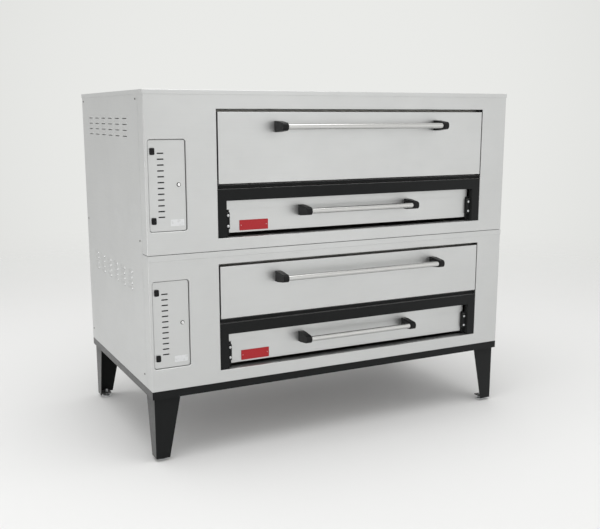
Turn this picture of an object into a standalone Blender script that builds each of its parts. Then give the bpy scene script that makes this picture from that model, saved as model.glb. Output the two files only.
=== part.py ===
"""Stacked two-deck gas pizza oven on four legs, as an assembly of separate pieces.

Metres, +Z up, front towards -Y. The origin is on the floor, under the middle of the
oven's outline, which runs from the door handles to the flue collars. Every piece is
modelled in the oven's own frame: X from the body's middle, Y from the front face
backwards and Z from the floor. The empty "oven" places that frame.
"""

import math

import bmesh
import bpy
from mathutils import Matrix, Vector

# ---- Overall ------------------------------------------------------------------------

WIDTH = 2.032
DEPTH = 1.134
LEG_HEIGHT = 0.315
BASE_HEIGHT = 0.038
LOWER_HEIGHT = 0.643
UPPER_HEIGHT = 0.740
GAP = 0.0003
SHEET = 0.002
OVERRUN = 0.010

HALF = WIDTH / 2
INNER_HALF = HALF - SHEET - GAP
BODY_BOTTOM = LEG_HEIGHT + BASE_HEIGHT
DECK_SEAM = BODY_BOTTOM + LOWER_HEIGHT
BODY_TOP = DECK_SEAM + UPPER_HEIGHT

# ---- Front panel and its openings, heights from a deck's bottom ----------------------

RETURN_DEPTH = 0.080
CHAMBER_X = 0.0934
OPENING_HALF = 0.7655
OPENING_BOTTOM = 0.060
JAMB_DEPTH = 0.055
TOP_LIP = 0.028
COVER_LIP = 0.020
PROUD = 0.0025

CONTROL_LOW = (-1.0004, 0.107)
CONTROL_HIGH = (-0.8235, 0.522)
CONTROL_RADIUS = 0.012
CONTROL_JAMB = 0.018

# ---- Chamber door --------------------------------------------------------------------

DOOR_HALF = 0.7595
DOOR_BOTTOM = 0.313
DOOR_THICK = 0.050
DOOR_TOP_GAP = 0.012
DOOR_BEND = 0.003
LOWER_DOOR_HEIGHT = 0.254
UPPER_DOOR_HEIGHT = 0.330
DOOR_PIVOT = 0.012
SHAFT_RADIUS = 0.008
BEARING_RADIUS = 0.014
BEARING_LENGTH = 0.014

# ---- Counterbalance, to the left of the chamber --------------------------------------

ARM_X = -0.780
ARM_THICK = 0.008
ARM_LENGTH = 0.060
ARM_WIDTH = 0.017
ARM_HEEL = 0.004
PIN_RADIUS = 0.004
ROD_X = -0.792
ROD_RADIUS = 0.004
EYE_RADIUS = 0.010
ROD_BOTTOM = 0.026
WASHER_Z = 0.040
WASHER_THICK = 0.003
WASHER_RADIUS = 0.016
BRACKET_Z = 0.235
BRACKET_THICK = 0.004
BRACKET_DEPTH = 0.095
BRACKET_WIDTH = 0.044
SPRING_RADIUS = 0.0125
SPRING_WIRE = 0.002
SPRING_TURNS = 7
SPRING_POINTS = 8

# ---- Black frame round the burner door ----------------------------------------------

FRAME_HALF = 0.765
FRAME_INNER_HALF = 0.720
FRAME_FACE = 0.004
FRAME_DEPTH = 0.030
RAIL_LOW = 0.234
RAIL_HIGH = 0.288
GROOVE = 0.002
SILL_HIGH = 0.306
BRACKET_PLATE = 0.004
BRACKET_TOP = 0.186
SCREW_RADIUS = 0.0075
SCREW_HALF = 0.716
SCREW_HEIGHTS = (0.1125, 0.1635)

# ---- Burner door ---------------------------------------------------------------------

BURNER_FACE = 0.038
BURNER_THICK = 0.020
BURNER_LOW = 0.078
BURNER_HIGH = 0.2325
BURNER_HALF = 0.697
EAR_HALF = 0.7095
EAR_LOW = 0.188
BURNER_PIN_REACH = 0.712
BADGE_LOW = (-0.5495, 0.0865)
BADGE_HIGH = (-0.3995, 0.136)
BADGE_THICK = 0.0015

# ---- Handles -------------------------------------------------------------------------

HANDLE_REACH = 0.097
TUBE_STANDOFF = 0.0785
TUBE_RADIUS = 0.0135
TUBE_WALL = 0.0015
MOUNT_WIDTH = 0.030
MOUNT_BASE = 0.026
MOUNT_NOSE = 0.0185
MOUNT_SHOULDER = 0.024
SOCKET_DEPTH = 0.013
DOOR_HANDLE_HALF = 0.4734
DOOR_HANDLE_DROP = 0.068
BURNER_HANDLE_HALF = 0.3274
BURNER_HANDLE_RISE = 0.092

# ---- Baking chamber ------------------------------------------------------------------

LINER_HALF = 0.762
LINER_FRONT = 0.058
LINER_BACK = 0.975
LINER_BOTTOM = 0.030
CEILING_DROP = 0.010
STONE_THICK = 0.050
STONE_TOP = 0.363
STONE_FRONT = 0.064
LEDGE = 0.025
INSULATION_LEFT = -0.745
INSULATION_FRONT = 0.062
FLUE_HALF = 0.150
FLUE_TALL = 0.080
FLUE_END = 0.038
FLUE_REACH = 0.040
COLLAR_FLANGE = 0.045
COLLAR_THICK = 0.003

# ---- Gas train -----------------------------------------------------------------------

PIPE_RADIUS = 0.0135
MANIFOLD_RADIUS = 0.0165
MANIFOLD_Y = 0.140
MANIFOLD_Z = 0.120
CONTROL_X = -0.915
INLET_Z = 0.215
INLET_REACH = 0.036
DIAL_Z = 0.400
INLET_BORE = 0.0115
INLET_DEPTH = 0.018
NUT_RADIUS = 0.0205
NUT_LENGTH = 0.026
VALVE_FRONT = 0.115
VALVE_LENGTH = 0.055
VALVE_SIZE = 0.068
THERMOSTAT_WIDTH = 0.072
THERMOSTAT_HEIGHT = 0.084
LINK_OFFSET = 0.026
LINK_RADIUS = 0.0105
STEM_FRONT = 0.080
BURNER_RADIUS = 0.020
BURNER_FRONT = 0.145
BURNER_BACK = 0.930
BURNER_RISE = 0.0023
BURNER_SPREAD = (-0.54, -0.18, 0.18, 0.54)

# ---- Control door and what is behind it ----------------------------------------------

CONTROL_GAP = 0.002
CONTROL_FACE = 0.008
HARDWARE_RISE = 0.006
HINGE_AXIS = (-0.9985, -0.003)
HINGE_LOW_X = -0.992
HINGE_WIDTH = 0.022
HINGE_HEIGHT = 0.031
HINGE_RADIUS = 0.004
HINGE_ROWS = (0.1573, 0.4696)
SLOT_X = -0.957
SLOT_LENGTH = 0.029
SLOT_HEIGHT = 0.006
SLOT_COUNT = 12
SLOT_LOW = 0.1737
SLOT_PITCH = 0.0261
LATCH_X = -0.858
LATCH_Z = 0.3187
LATCH_RADIUS = 0.0075
LATCH_BARREL = 0.006
CAM_LENGTH = 0.042
CAM_WIDTH = 0.012
CAM_FACE = 0.0205
CAM_THICK = 0.0025
DIAL_RADIUS = 0.027
DIAL_FRONT = 0.070
KNOB_RADIUS = 0.018
KNOB_FRONT = 0.068

# ---- Side panel louvres --------------------------------------------------------------

LOUVRE_COLUMNS = 6
LOUVRE_ROWS = 4
LOUVRE_FRONT = 0.300
LOUVRE_PITCH_Y = 0.1296
LOUVRE_PITCH_Z = 0.0274
LOUVRE_LENGTH = 0.078
LOUVRE_HEIGHT = 0.013
LOUVRE_REACH = 0.0045
LOUVRE_WALL = 0.0012
LOUVRE_LOWS = (0.443, 1.175)

# ---- Base and legs -------------------------------------------------------------------

ANGLE = 0.038
ANGLE_THICK = 0.003
CORNER_PLATE = 0.150
PLATE = 0.005
LEG_INSET = 0.012
LEG_TOP = 0.128
LEG_FOOT = 0.068
REAR_PLATE_TOP = 0.152
REAR_PLATE_FOOT = 0.086
LEG_BOTTOM = 0.015
FOOT_OFFSET = 0.040
FOOT_RADIUS = 0.025
STEM_RADIUS = 0.007
STEM_TOP = 0.040

FRONT_Y = HANDLE_REACH - (DEPTH + HANDLE_REACH + FLUE_REACH) / 2


class Deck:
    """One deck's heights above the floor."""

    def __init__(self, name, bottom, top, door_height):
        self.name = name
        self.bottom = bottom
        self.top = top
        self.door_low = bottom + DOOR_BOTTOM
        self.door_high = self.door_low + door_height
        self.opening_low = bottom + OPENING_BOTTOM
        self.opening_high = self.door_high + DOOR_TOP_GAP
        self.ceiling = self.door_high - CEILING_DROP
        self.axis = Vector((0.0, DOOR_PIVOT, self.door_low + DOOR_PIVOT))
        self.arm_end = self.axis + ARM_LENGTH * Vector((0.0, 1.0, -1.0)).normalized()
        self.burner_axis = Vector(
            (0.0, BURNER_FACE + BURNER_THICK / 2, bottom + BURNER_LOW + BURNER_THICK / 2)
        )

    def z(self, height):
        """A height above the deck's bottom, from the floor."""
        return self.bottom + height

    def burner_pin(self, side, reach):
        """A point on the burner door's axis, so far from the chamber's middle."""
        return self.burner_axis + Vector((CHAMBER_X + side * reach, 0.0, 0.0))


# ---- Modelling tools -----------------------------------------------------------------


def clear_scene():
    for thing in list(bpy.data.objects):
        bpy.data.objects.remove(thing)


def add_object(name, data):
    """Puts new mesh or curve data in the scene as an object."""
    thing = bpy.data.objects.new(name, data)
    bpy.context.scene.collection.objects.link(thing)
    return thing


def from_bmesh(name, shape):
    mesh = bpy.data.meshes.new(name)
    bmesh.ops.recalc_face_normals(shape, faces=shape.faces)
    shape.to_mesh(mesh)
    shape.free()
    return add_object(name, mesh)


def block(name, low, high):
    """A box between two opposite corners."""
    shape = bmesh.new()
    bmesh.ops.create_cube(shape, size=1.0)
    bmesh.ops.scale(shape, vec=Vector(high) - Vector(low), verts=shape.verts)
    bmesh.ops.translate(shape, vec=(Vector(high) + Vector(low)) / 2, verts=shape.verts)
    return from_bmesh(name, shape)


def rounded_block(name, low, high, axis, radius, segments=3):
    """A box whose four edges along one axis (0, 1 or 2) are rounded."""
    thing = block(name, low, high)
    shape = bmesh.new()
    shape.from_mesh(thing.data)
    edges = []
    for edge in shape.edges:
        along = edge.verts[1].co - edge.verts[0].co
        if abs(along[axis]) > 0.5 * along.length:
            edges.append(edge)
    bmesh.ops.bevel(
        shape, geom=edges, offset=radius, segments=segments, profile=0.5, affect="EDGES"
    )
    shape.to_mesh(thing.data)
    shape.free()
    return thing


def rod(name, start, end, radius, sides=16):
    """A cylinder between two points."""
    start = Vector(start)
    end = Vector(end)
    shape = bmesh.new()
    bmesh.ops.create_cone(
        shape,
        cap_ends=True,
        segments=sides,
        radius1=radius,
        radius2=radius,
        depth=(end - start).length,
    )
    turn = (end - start).to_track_quat("Z", "Y").to_matrix().to_4x4()
    place = Matrix.Translation((start + end) / 2) @ turn
    bmesh.ops.transform(shape, matrix=place, verts=shape.verts)
    return from_bmesh(name, shape)


def plate(name, outline, axis, start, end):
    """A flat outline pushed along X or Y. Its points are (Y, Z) or (X, Z) pairs."""
    curve = bpy.data.curves.new(name, "CURVE")
    curve.dimensions = "2D"
    curve.fill_mode = "BOTH"
    curve.extrude = abs(end - start) / 2
    spline = curve.splines.new("POLY")
    spline.points.add(len(outline) - 1)
    for point, (across, up) in zip(spline.points, outline):
        point.co = (across, up, 0.0, 1.0)
    spline.use_cyclic_u = True
    thing = add_object(name, curve)
    middle = (start + end) / 2
    if axis == "X":
        turn = Matrix(((0, 0, 1, middle), (1, 0, 0, 0), (0, 1, 0, 0), (0, 0, 0, 1)))
    else:
        turn = Matrix(((1, 0, 0, 0), (0, 0, -1, middle), (0, 1, 0, 0), (0, 0, 0, 1)))
    thing.matrix_world = turn
    return to_mesh(thing)


def to_mesh(thing):
    """Turns a curve, or an object with modifiers, into a welded mesh in place."""
    bpy.context.view_layer.update()
    seen = thing.evaluated_get(bpy.context.evaluated_depsgraph_get())
    mesh = bpy.data.meshes.new_from_object(seen)
    mesh.transform(thing.matrix_world)
    shape = bmesh.new()
    shape.from_mesh(mesh)
    bmesh.ops.remove_doubles(shape, verts=shape.verts, dist=0.00001)
    name = thing.name
    bpy.data.objects.remove(thing)
    return from_bmesh(name, shape)


def combine(target, tools, operation):
    """Cuts or joins the target with each tool in turn, and drops the tools."""
    for tool in tools:
        modifier = target.modifiers.new(tool.name, "BOOLEAN")
        modifier.operation = operation
        modifier.object = tool
    bpy.context.view_layer.update()
    seen = target.evaluated_get(bpy.context.evaluated_depsgraph_get())
    mesh = bpy.data.meshes.new_from_object(seen)
    target.modifiers.clear()
    target.data = mesh
    for tool in tools:
        bpy.data.objects.remove(tool)
    return target


def cut(target, *tools):
    return combine(target, tools, "DIFFERENCE")


def join(target, *tools):
    return combine(target, tools, "UNION")


def turned(name, profile, centre, steps=16):
    """A profile of (radius, height) points, top to bottom, turned about Z."""
    mesh = bpy.data.meshes.new(name)
    shape = bmesh.new()
    points = [shape.verts.new((radius, 0.0, height)) for radius, height in profile]
    for above, below in zip(points, points[1:]):
        shape.edges.new((above, below))
    shape.to_mesh(mesh)
    shape.free()
    thing = add_object(name, mesh)
    thing.location = centre
    screw = thing.modifiers.new("Turn", "SCREW")
    screw.steps = steps
    screw.render_steps = steps
    screw.use_merge_vertices = True
    screw.merge_threshold = 0.00001
    return to_mesh(thing)


def smooth(thing):
    """Shades round stretches smooth and keeps the edges sharp."""
    thing.data.shade_smooth()
    thing.data.set_sharp_from_angle(angle=math.radians(35))
    return thing


# ---- Materials and assembly ----------------------------------------------------------


def make_material(name, colour, roughness, metallic):
    material = bpy.data.materials.new(name)
    material.use_nodes = True
    shader = material.node_tree.nodes["Principled BSDF"]
    shader.inputs["Base Color"].default_value = (*colour, 1.0)
    shader.inputs["Roughness"].default_value = roughness
    shader.inputs["Metallic"].default_value = metallic
    return material


def make_materials():
    looks = {
        "stainless": ((0.62, 0.62, 0.61), 0.38, 1.0),
        "chamber_steel": ((0.42, 0.42, 0.43), 0.5, 1.0),
        "black_enamel": ((0.015, 0.015, 0.016), 0.45, 0.0),
        "polished_tube": ((0.75, 0.75, 0.75), 0.15, 1.0),
        "black_plastic": ((0.014, 0.014, 0.014), 0.4, 0.0),
        "zinc": ((0.55, 0.56, 0.57), 0.4, 1.0),
        "stone": ((0.52, 0.46, 0.38), 0.9, 0.0),
        "insulation": ((0.85, 0.84, 0.78), 0.95, 0.0),
        "gas_pipe": ((0.18, 0.17, 0.16), 0.6, 0.6),
        "spring_steel": ((0.3, 0.3, 0.32), 0.35, 1.0),
        "chrome": ((0.8, 0.8, 0.8), 0.12, 1.0),
        "red_paint": ((0.48, 0.03, 0.04), 0.4, 0.0),
    }
    return {name: make_material(name, *values) for name, values in looks.items()}


class Assembly:
    """The oven's collection, its root empty and the joints' empties."""

    def __init__(self):
        self.materials = make_materials()
        self.collection = bpy.data.collections.new("stacked_deck_oven")
        bpy.context.scene.collection.children.link(self.collection)
        self.oven = self.empty("oven", (0.0, FRONT_Y, 0.0), None)

    def empty(self, name, place, parent):
        thing = bpy.data.objects.new(name, None)
        thing.empty_display_size = 0.05
        self.collection.objects.link(thing)
        thing.parent = parent
        thing.location = place
        return thing

    def joint(self, name, axis_point, parent=None):
        """An empty on a joint's axis, given in the oven's frame."""
        parent = parent or self.oven
        thing = self.empty(name, Vector(axis_point) - self.offset(parent), parent)
        return thing

    def offset(self, empty):
        """Where an empty is in the oven's frame."""
        place = Vector((0.0, 0.0, 0.0))
        while empty is not self.oven:
            place += empty.location
            empty = empty.parent
        return place

    def add(self, thing, material, joint=None):
        """Gives a finished piece its material and hangs it on the oven or a joint."""
        parent = joint or self.oven
        thing.data.materials.clear()
        thing.data.materials.append(self.materials[material])
        thing.data.transform(Matrix.Translation(-self.offset(parent)))
        smooth(thing)
        for collection in list(thing.users_collection):
            collection.objects.unlink(thing)
        self.collection.objects.link(thing)
        thing.parent = parent
        return thing


# ---- Base, legs and feet -------------------------------------------------------------


def base_frame():
    """A ring of black angle under the body, with plates in its corners for the legs."""
    low = LEG_HEIGHT
    high = BODY_BOTTOM - GAP
    wall = HALF - ANGLE_THICK
    ring = block("base_frame", (-HALF, 0.0, low), (HALF, DEPTH, high))
    under = block(
        "under",
        (-wall, ANGLE_THICK, low - OVERRUN),
        (wall, DEPTH - ANGLE_THICK, high - ANGLE_THICK),
    )
    middle = block(
        "middle",
        (-HALF + ANGLE, ANGLE, low - OVERRUN),
        (HALF - ANGLE, DEPTH - ANGLE, high + OVERRUN),
    )
    cut(ring, under, middle)
    corners = []
    for side in (-1, 1):
        for back in (False, True):
            edge = side * (HALF - ANGLE_THICK / 2)
            inner = side * (HALF - CORNER_PLATE)
            front = DEPTH - CORNER_PLATE if back else ANGLE_THICK / 2
            rear = DEPTH - ANGLE_THICK / 2 if back else CORNER_PLATE
            low_corner = (min(edge, inner), front, low)
            high_corner = (max(edge, inner), rear, low + PLATE)
            corners.append(block("corner", low_corner, high_corner))
    return join(ring, *corners)


def leg(name, side, back):
    """A tapered angle with a top plate, and a bottom plate for the levelling foot."""
    edge_x = side * (HALF - LEG_INSET)
    edge_y = DEPTH if back else LEG_INSET
    inward_x = -side
    inward_y = -1 if back else 1
    top = LEG_HEIGHT - GAP

    def outline(edge, inward, narrow, wide):
        return [
            (edge, LEG_BOTTOM),
            (edge + inward * narrow, LEG_BOTTOM),
            (edge + inward * wide, top),
            (edge, top),
        ]

    widths = (REAR_PLATE_FOOT, REAR_PLATE_TOP) if back else (LEG_FOOT, LEG_TOP)
    across = outline(edge_x, inward_x, *widths)
    front = plate(name, across, "Y", edge_y, edge_y + inward_y * PLATE)
    along = outline(edge_y, inward_y, LEG_FOOT, LEG_TOP)
    flank = plate("flank", along, "X", edge_x, edge_x + inward_x * PLATE)
    skin = PLATE / 2

    def corner_block(reach, low, high):
        xs = sorted((edge_x + inward_x * skin, edge_x + inward_x * reach))
        ys = sorted((edge_y + inward_y * skin, edge_y + inward_y * reach))
        return block("seat", (xs[0], ys[0], low), (xs[1], ys[1], high))

    seat = corner_block(LEG_TOP - 2 * PLATE, top - PLATE, top)
    pad = corner_block(LEG_FOOT - PLATE, LEG_BOTTOM + PLATE, LEG_BOTTOM + 2 * PLATE)
    join(front, flank, seat, pad)
    x, y = foot_centre(side, back)
    hole = rod("hole", (x, y, 0.0), (x, y, LEG_BOTTOM + STEM_TOP), STEM_RADIUS + GAP)
    return cut(front, hole)


def foot_centre(side, back):
    x = side * (HALF - LEG_INSET - FOOT_OFFSET)
    y = DEPTH - FOOT_OFFSET if back else LEG_INSET + FOOT_OFFSET
    return x, y


def foot(name, side, back):
    """A levelling foot: a domed disc on a threaded stem."""
    profile = [
        (0.0, STEM_TOP),
        (STEM_RADIUS, STEM_TOP),
        (STEM_RADIUS, 0.011),
        (0.013, 0.010),
        (FOOT_RADIUS, 0.005),
        (FOOT_RADIUS, 0.0),
        (0.0, 0.0),
    ]
    return turned(name, profile, (*foot_centre(side, back), 0.0))


def build_base(oven):
    oven.add(base_frame(), "black_enamel")
    for row, back in (("front", False), ("rear", True)):
        for hand, side in (("left", -1), ("right", 1)):
            place = f"{row}_{hand}"
            oven.add(leg(f"leg_{place}", side, back), "black_enamel")
            joint = oven.joint(f"joint_foot_{place}", (*foot_centre(side, back), 0.0))
            oven.add(foot(f"foot_{place}", side, back), "zinc", joint)


# ---- Outer panels --------------------------------------------------------------------


def front_panel(deck, top):
    """The stainless front: side returns, jambs round both openings, and bearings."""
    low = deck.bottom + GAP
    panel = block(f"{deck.name}_front_panel", (-HALF, 0.0, low), (HALF, RETURN_DEPTH, top))
    inside = block(
        "inside",
        (-HALF + SHEET, SHEET, low - OVERRUN),
        (HALF - SHEET, RETURN_DEPTH + OVERRUN, top + OVERRUN),
    )
    cut(panel, inside)
    left = CHAMBER_X - OPENING_HALF
    right = CHAMBER_X + OPENING_HALF
    jamb = block(
        "jamb",
        (left - SHEET, SHEET / 2, deck.opening_low - SHEET),
        (right + SHEET, JAMB_DEPTH, deck.opening_high + SHEET),
    )
    control_jamb = rounded_block(
        "control_jamb",
        (CONTROL_LOW[0] - SHEET, SHEET / 2, deck.z(CONTROL_LOW[1]) - SHEET),
        (CONTROL_HIGH[0] + SHEET, CONTROL_JAMB, deck.z(CONTROL_HIGH[1]) + SHEET),
        1,
        CONTROL_RADIUS + SHEET,
    )
    bearings = []
    for edge, way in ((left, -1), (right, 1)):
        start = (edge + way * SHEET / 2, deck.axis.y, deck.axis.z)
        end = (edge + way * BEARING_LENGTH, deck.axis.y, deck.axis.z)
        bearings.append(rod("bearing", start, end, BEARING_RADIUS - SHEET))
    join(panel, jamb, control_jamb, *bearings, spring_bracket(deck))
    opening = block(
        "opening",
        (left, -OVERRUN, deck.opening_low),
        (right, JAMB_DEPTH + OVERRUN, deck.opening_high),
    )
    control = rounded_block(
        "control",
        (CONTROL_LOW[0], -OVERRUN, deck.z(CONTROL_LOW[1])),
        (CONTROL_HIGH[0], CONTROL_JAMB + OVERRUN, deck.z(CONTROL_HIGH[1])),
        1,
        CONTROL_RADIUS,
    )
    shaft_hole = rod(
        "shaft_hole",
        (left - 2 * BEARING_LENGTH, deck.axis.y, deck.axis.z),
        (right + 2 * BEARING_LENGTH, deck.axis.y, deck.axis.z),
        SHAFT_RADIUS + GAP,
    )
    return cut(panel, opening, control, shaft_hole)


def spring_bracket(deck):
    """A slotted shelf behind the front panel that the counterbalance spring pushes on."""
    low = deck.z(BRACKET_Z)
    high = low + BRACKET_THICK
    half = BRACKET_WIDTH / 2
    shelf = block(
        "shelf", (ROD_X - half, SHEET / 2, low), (ROD_X + half, BRACKET_DEPTH, high)
    )
    play = ROD_RADIUS + 0.001
    bulge = ARM_LENGTH + DOOR_PIVOT
    slot = block(
        "slot",
        (ROD_X - play, deck.arm_end.y - play, low - OVERRUN),
        (ROD_X + play, bulge + play, high + OVERRUN),
    )
    return cut(shelf, slot)


def louvre_set(side, grow, reach, inward):
    """All louvres of one side panel as wedges, for the hoods or for what is cut out."""
    outer = side * HALF
    wedges = []
    for group in LOUVRE_LOWS:
        for row in range(LOUVRE_ROWS):
            z = BODY_BOTTOM + group + row * LOUVRE_PITCH_Z
            outline = [
                (outer - side * inward, z + grow),
                (outer - side * inward, z + LOUVRE_HEIGHT - 2 * grow),
                (outer - side * grow, z + LOUVRE_HEIGHT - 2 * grow),
                (outer + side * reach, z + grow),
            ]
            if grow:
                outline[0] = (outer - side * inward, z - grow)
                outline[3] = (outer + side * reach, z - grow)
            for column in range(LOUVRE_COLUMNS):
                middle = LOUVRE_FRONT + column * LOUVRE_PITCH_Y
                half = LOUVRE_LENGTH / 2 - grow
                wedges.append(plate("louvre", outline, "Y", middle - half, middle + half))
    return merge(wedges)


def merge(pieces):
    """Puts separate, disjoint pieces in one object, to use as one Boolean tool."""
    shape = bmesh.new()
    for piece in pieces:
        shape.from_mesh(piece.data)
        bpy.data.objects.remove(piece)
    return from_bmesh("merged", shape)


def side_panel(name, side):
    """One full-height sheet for both decks, with louvres pressed out of it."""
    xs = sorted((side * HALF, side * (HALF - SHEET)))
    top = BODY_TOP - SHEET - GAP
    panel = block(
        name, (xs[0], RETURN_DEPTH + GAP, BODY_BOTTOM + GAP), (xs[1], DEPTH, top)
    )
    join(panel, louvre_set(side, 0.0, LOUVRE_REACH, SHEET / 2))
    return cut(panel, louvre_set(side, LOUVRE_WALL, LOUVRE_REACH - LOUVRE_WALL, 2 * SHEET))


def back_panel(deck, top):
    """The rear sheet, with a hole for the gas pipe and a collar for the flue duct."""
    low = deck.bottom + GAP
    panel = block(
        f"{deck.name}_back_panel",
        (-INNER_HALF, DEPTH - SHEET, low),
        (INNER_HALF, DEPTH, top),
    )
    buried = DEPTH - SHEET / 2
    flange = flue_block(deck, SHEET + COLLAR_FLANGE, buried, DEPTH + COLLAR_THICK)
    sleeve = flue_block(deck, 2 * SHEET + GAP, buried, DEPTH + FLUE_REACH)
    join(panel, flange, sleeve)
    gas = rod(
        "gas",
        (CONTROL_X, DEPTH - OVERRUN, deck.z(INLET_Z)),
        (CONTROL_X, DEPTH + OVERRUN, deck.z(INLET_Z)),
        PIPE_RADIUS + 4 * GAP,
    )
    bore = flue_block(deck, SHEET + GAP, DEPTH - OVERRUN, DEPTH + FLUE_REACH + OVERRUN)
    return cut(panel, bore, gas)


def lower_top_panel(deck):
    """The sheet between the decks, with a proud lip over the top of the front."""
    high = deck.top
    low = high - SHEET
    back = DEPTH - SHEET - GAP
    sheet = block(f"{deck.name}_top_panel", (-HALF, -PROUD, low), (HALF, RETURN_DEPTH, high))
    rest = block("rest", (-INNER_HALF, SHEET, low), (INNER_HALF, back, high))
    lip = block("lip", (-HALF, -PROUD, high - TOP_LIP), (HALF, SHEET - PROUD, high))
    return join(sheet, rest, lip)


def upper_top_panel(deck):
    """The top cover: a tray turned upside down over the panels."""
    edge = HALF + PROUD
    cover = block(
        f"{deck.name}_top_panel",
        (-edge, -PROUD, BODY_TOP - COVER_LIP),
        (edge, DEPTH + PROUD, BODY_TOP),
    )
    inner = edge - SHEET
    hollow = block(
        "hollow",
        (-inner, SHEET - PROUD, BODY_TOP - COVER_LIP - OVERRUN),
        (inner, DEPTH + PROUD - SHEET, BODY_TOP - SHEET),
    )
    return cut(cover, hollow)


def floor_pan():
    """The bottom of the lower deck, a shallow tray with its edges turned up."""
    low = BODY_BOTTOM + GAP
    edge = INNER_HALF
    back = DEPTH - SHEET - GAP
    pan = block("floor_pan", (-edge, SHEET + GAP, low), (edge, back, low + COVER_LIP))
    hollow = block(
        "hollow",
        (-edge + SHEET, 2 * SHEET + GAP, low + SHEET),
        (edge - SHEET, back - SHEET, low + COVER_LIP + OVERRUN),
    )
    return cut(pan, hollow)


def build_side_panels(oven):
    oven.add(side_panel("left_side_panel", -1), "stainless")
    oven.add(side_panel("right_side_panel", 1), "stainless")
    oven.add(floor_pan(), "chamber_steel")


def build_deck_panels(oven, deck, top_panel):
    top = deck.top - SHEET - GAP
    oven.add(front_panel(deck, top), "stainless")
    oven.add(back_panel(deck, top), "stainless")
    oven.add(top_panel(deck), "stainless")


# ---- Baking chamber ------------------------------------------------------------------


def flue_block(deck, grow, start, end):
    """The flue duct's box along Y, its bore grown by so much."""
    high = deck.ceiling - SHEET
    return block(
        "flue",
        (CHAMBER_X - FLUE_HALF - grow, start, high - FLUE_TALL - grow),
        (CHAMBER_X + FLUE_HALF + grow, end, high + grow),
    )


def chamber_liner(deck):
    """The steel box round the chamber and the burners, with ledges and a flue duct."""
    low = deck.z(LINER_BOTTOM)
    outer = LINER_HALF + SHEET
    liner = block(
        f"{deck.name}_chamber_liner",
        (CHAMBER_X - outer, LINER_FRONT, low),
        (CHAMBER_X + outer, LINER_BACK + SHEET, deck.ceiling + SHEET),
    )
    hollow = block(
        "hollow",
        (CHAMBER_X - LINER_HALF, LINER_FRONT - OVERRUN, low - OVERRUN),
        (CHAMBER_X + LINER_HALF, LINER_BACK, deck.ceiling),
    )
    cut(liner, hollow)
    top = deck.z(STONE_TOP) - STONE_THICK - GAP
    under = top - SHEET
    joined = SHEET / 2
    ledges = []
    for side in (-1, 1):
        wall = CHAMBER_X + side * (LINER_HALF + joined)
        tip = CHAMBER_X + side * (LINER_HALF - LEDGE)
        xs = sorted((wall, tip))
        ledges.append(
            block("ledge", (xs[0], LINER_FRONT, under), (xs[1], LINER_BACK + joined, top))
        )
    duct = flue_block(deck, SHEET, LINER_BACK + joined, DEPTH + FLUE_END)
    gas = rod(
        "gas",
        (CHAMBER_X - outer - OVERRUN, MANIFOLD_Y, deck.z(MANIFOLD_Z)),
        (CHAMBER_X - LINER_HALF + OVERRUN, MANIFOLD_Y, deck.z(MANIFOLD_Z)),
        MANIFOLD_RADIUS + 2 * GAP,
    )
    join(liner, *ledges, duct)
    bore = flue_block(deck, 0.0, LINER_BACK - OVERRUN, DEPTH + FLUE_END + OVERRUN)
    return cut(liner, bore, gas)


def insulation(deck):
    """Fibre blanket round the liner's sides, back and top."""
    wrap = block(
        f"{deck.name}_insulation",
        (INSULATION_LEFT, INSULATION_FRONT, deck.bottom + COVER_LIP + 3 * GAP),
        (INNER_HALF - GAP, DEPTH - SHEET - GAP, deck.top - SHEET - GAP),
    )
    outer = LINER_HALF + SHEET + GAP
    core = block(
        "core",
        (CHAMBER_X - outer, 0.0, deck.bottom - OVERRUN),
        (CHAMBER_X + outer, LINER_BACK + SHEET + GAP, deck.ceiling + SHEET + GAP),
    )
    duct = flue_block(deck, SHEET + GAP, LINER_BACK, DEPTH + OVERRUN)
    gas = rod(
        "gas",
        (INSULATION_LEFT - OVERRUN, MANIFOLD_Y, deck.z(MANIFOLD_Z)),
        (CHAMBER_X - LINER_HALF, MANIFOLD_Y, deck.z(MANIFOLD_Z)),
        MANIFOLD_RADIUS + 2 * GAP,
    )
    return cut(wrap, core, duct, gas)


def hearth_stone(deck):
    high = deck.z(STONE_TOP)
    half = LINER_HALF - 0.003
    return rounded_block(
        f"{deck.name}_hearth_stone",
        (CHAMBER_X - half, STONE_FRONT, high - STONE_THICK),
        (CHAMBER_X + half, LINER_BACK - 0.003, high),
        0,
        0.002,
        1,
    )


# ---- Gas train -----------------------------------------------------------------------


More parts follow.
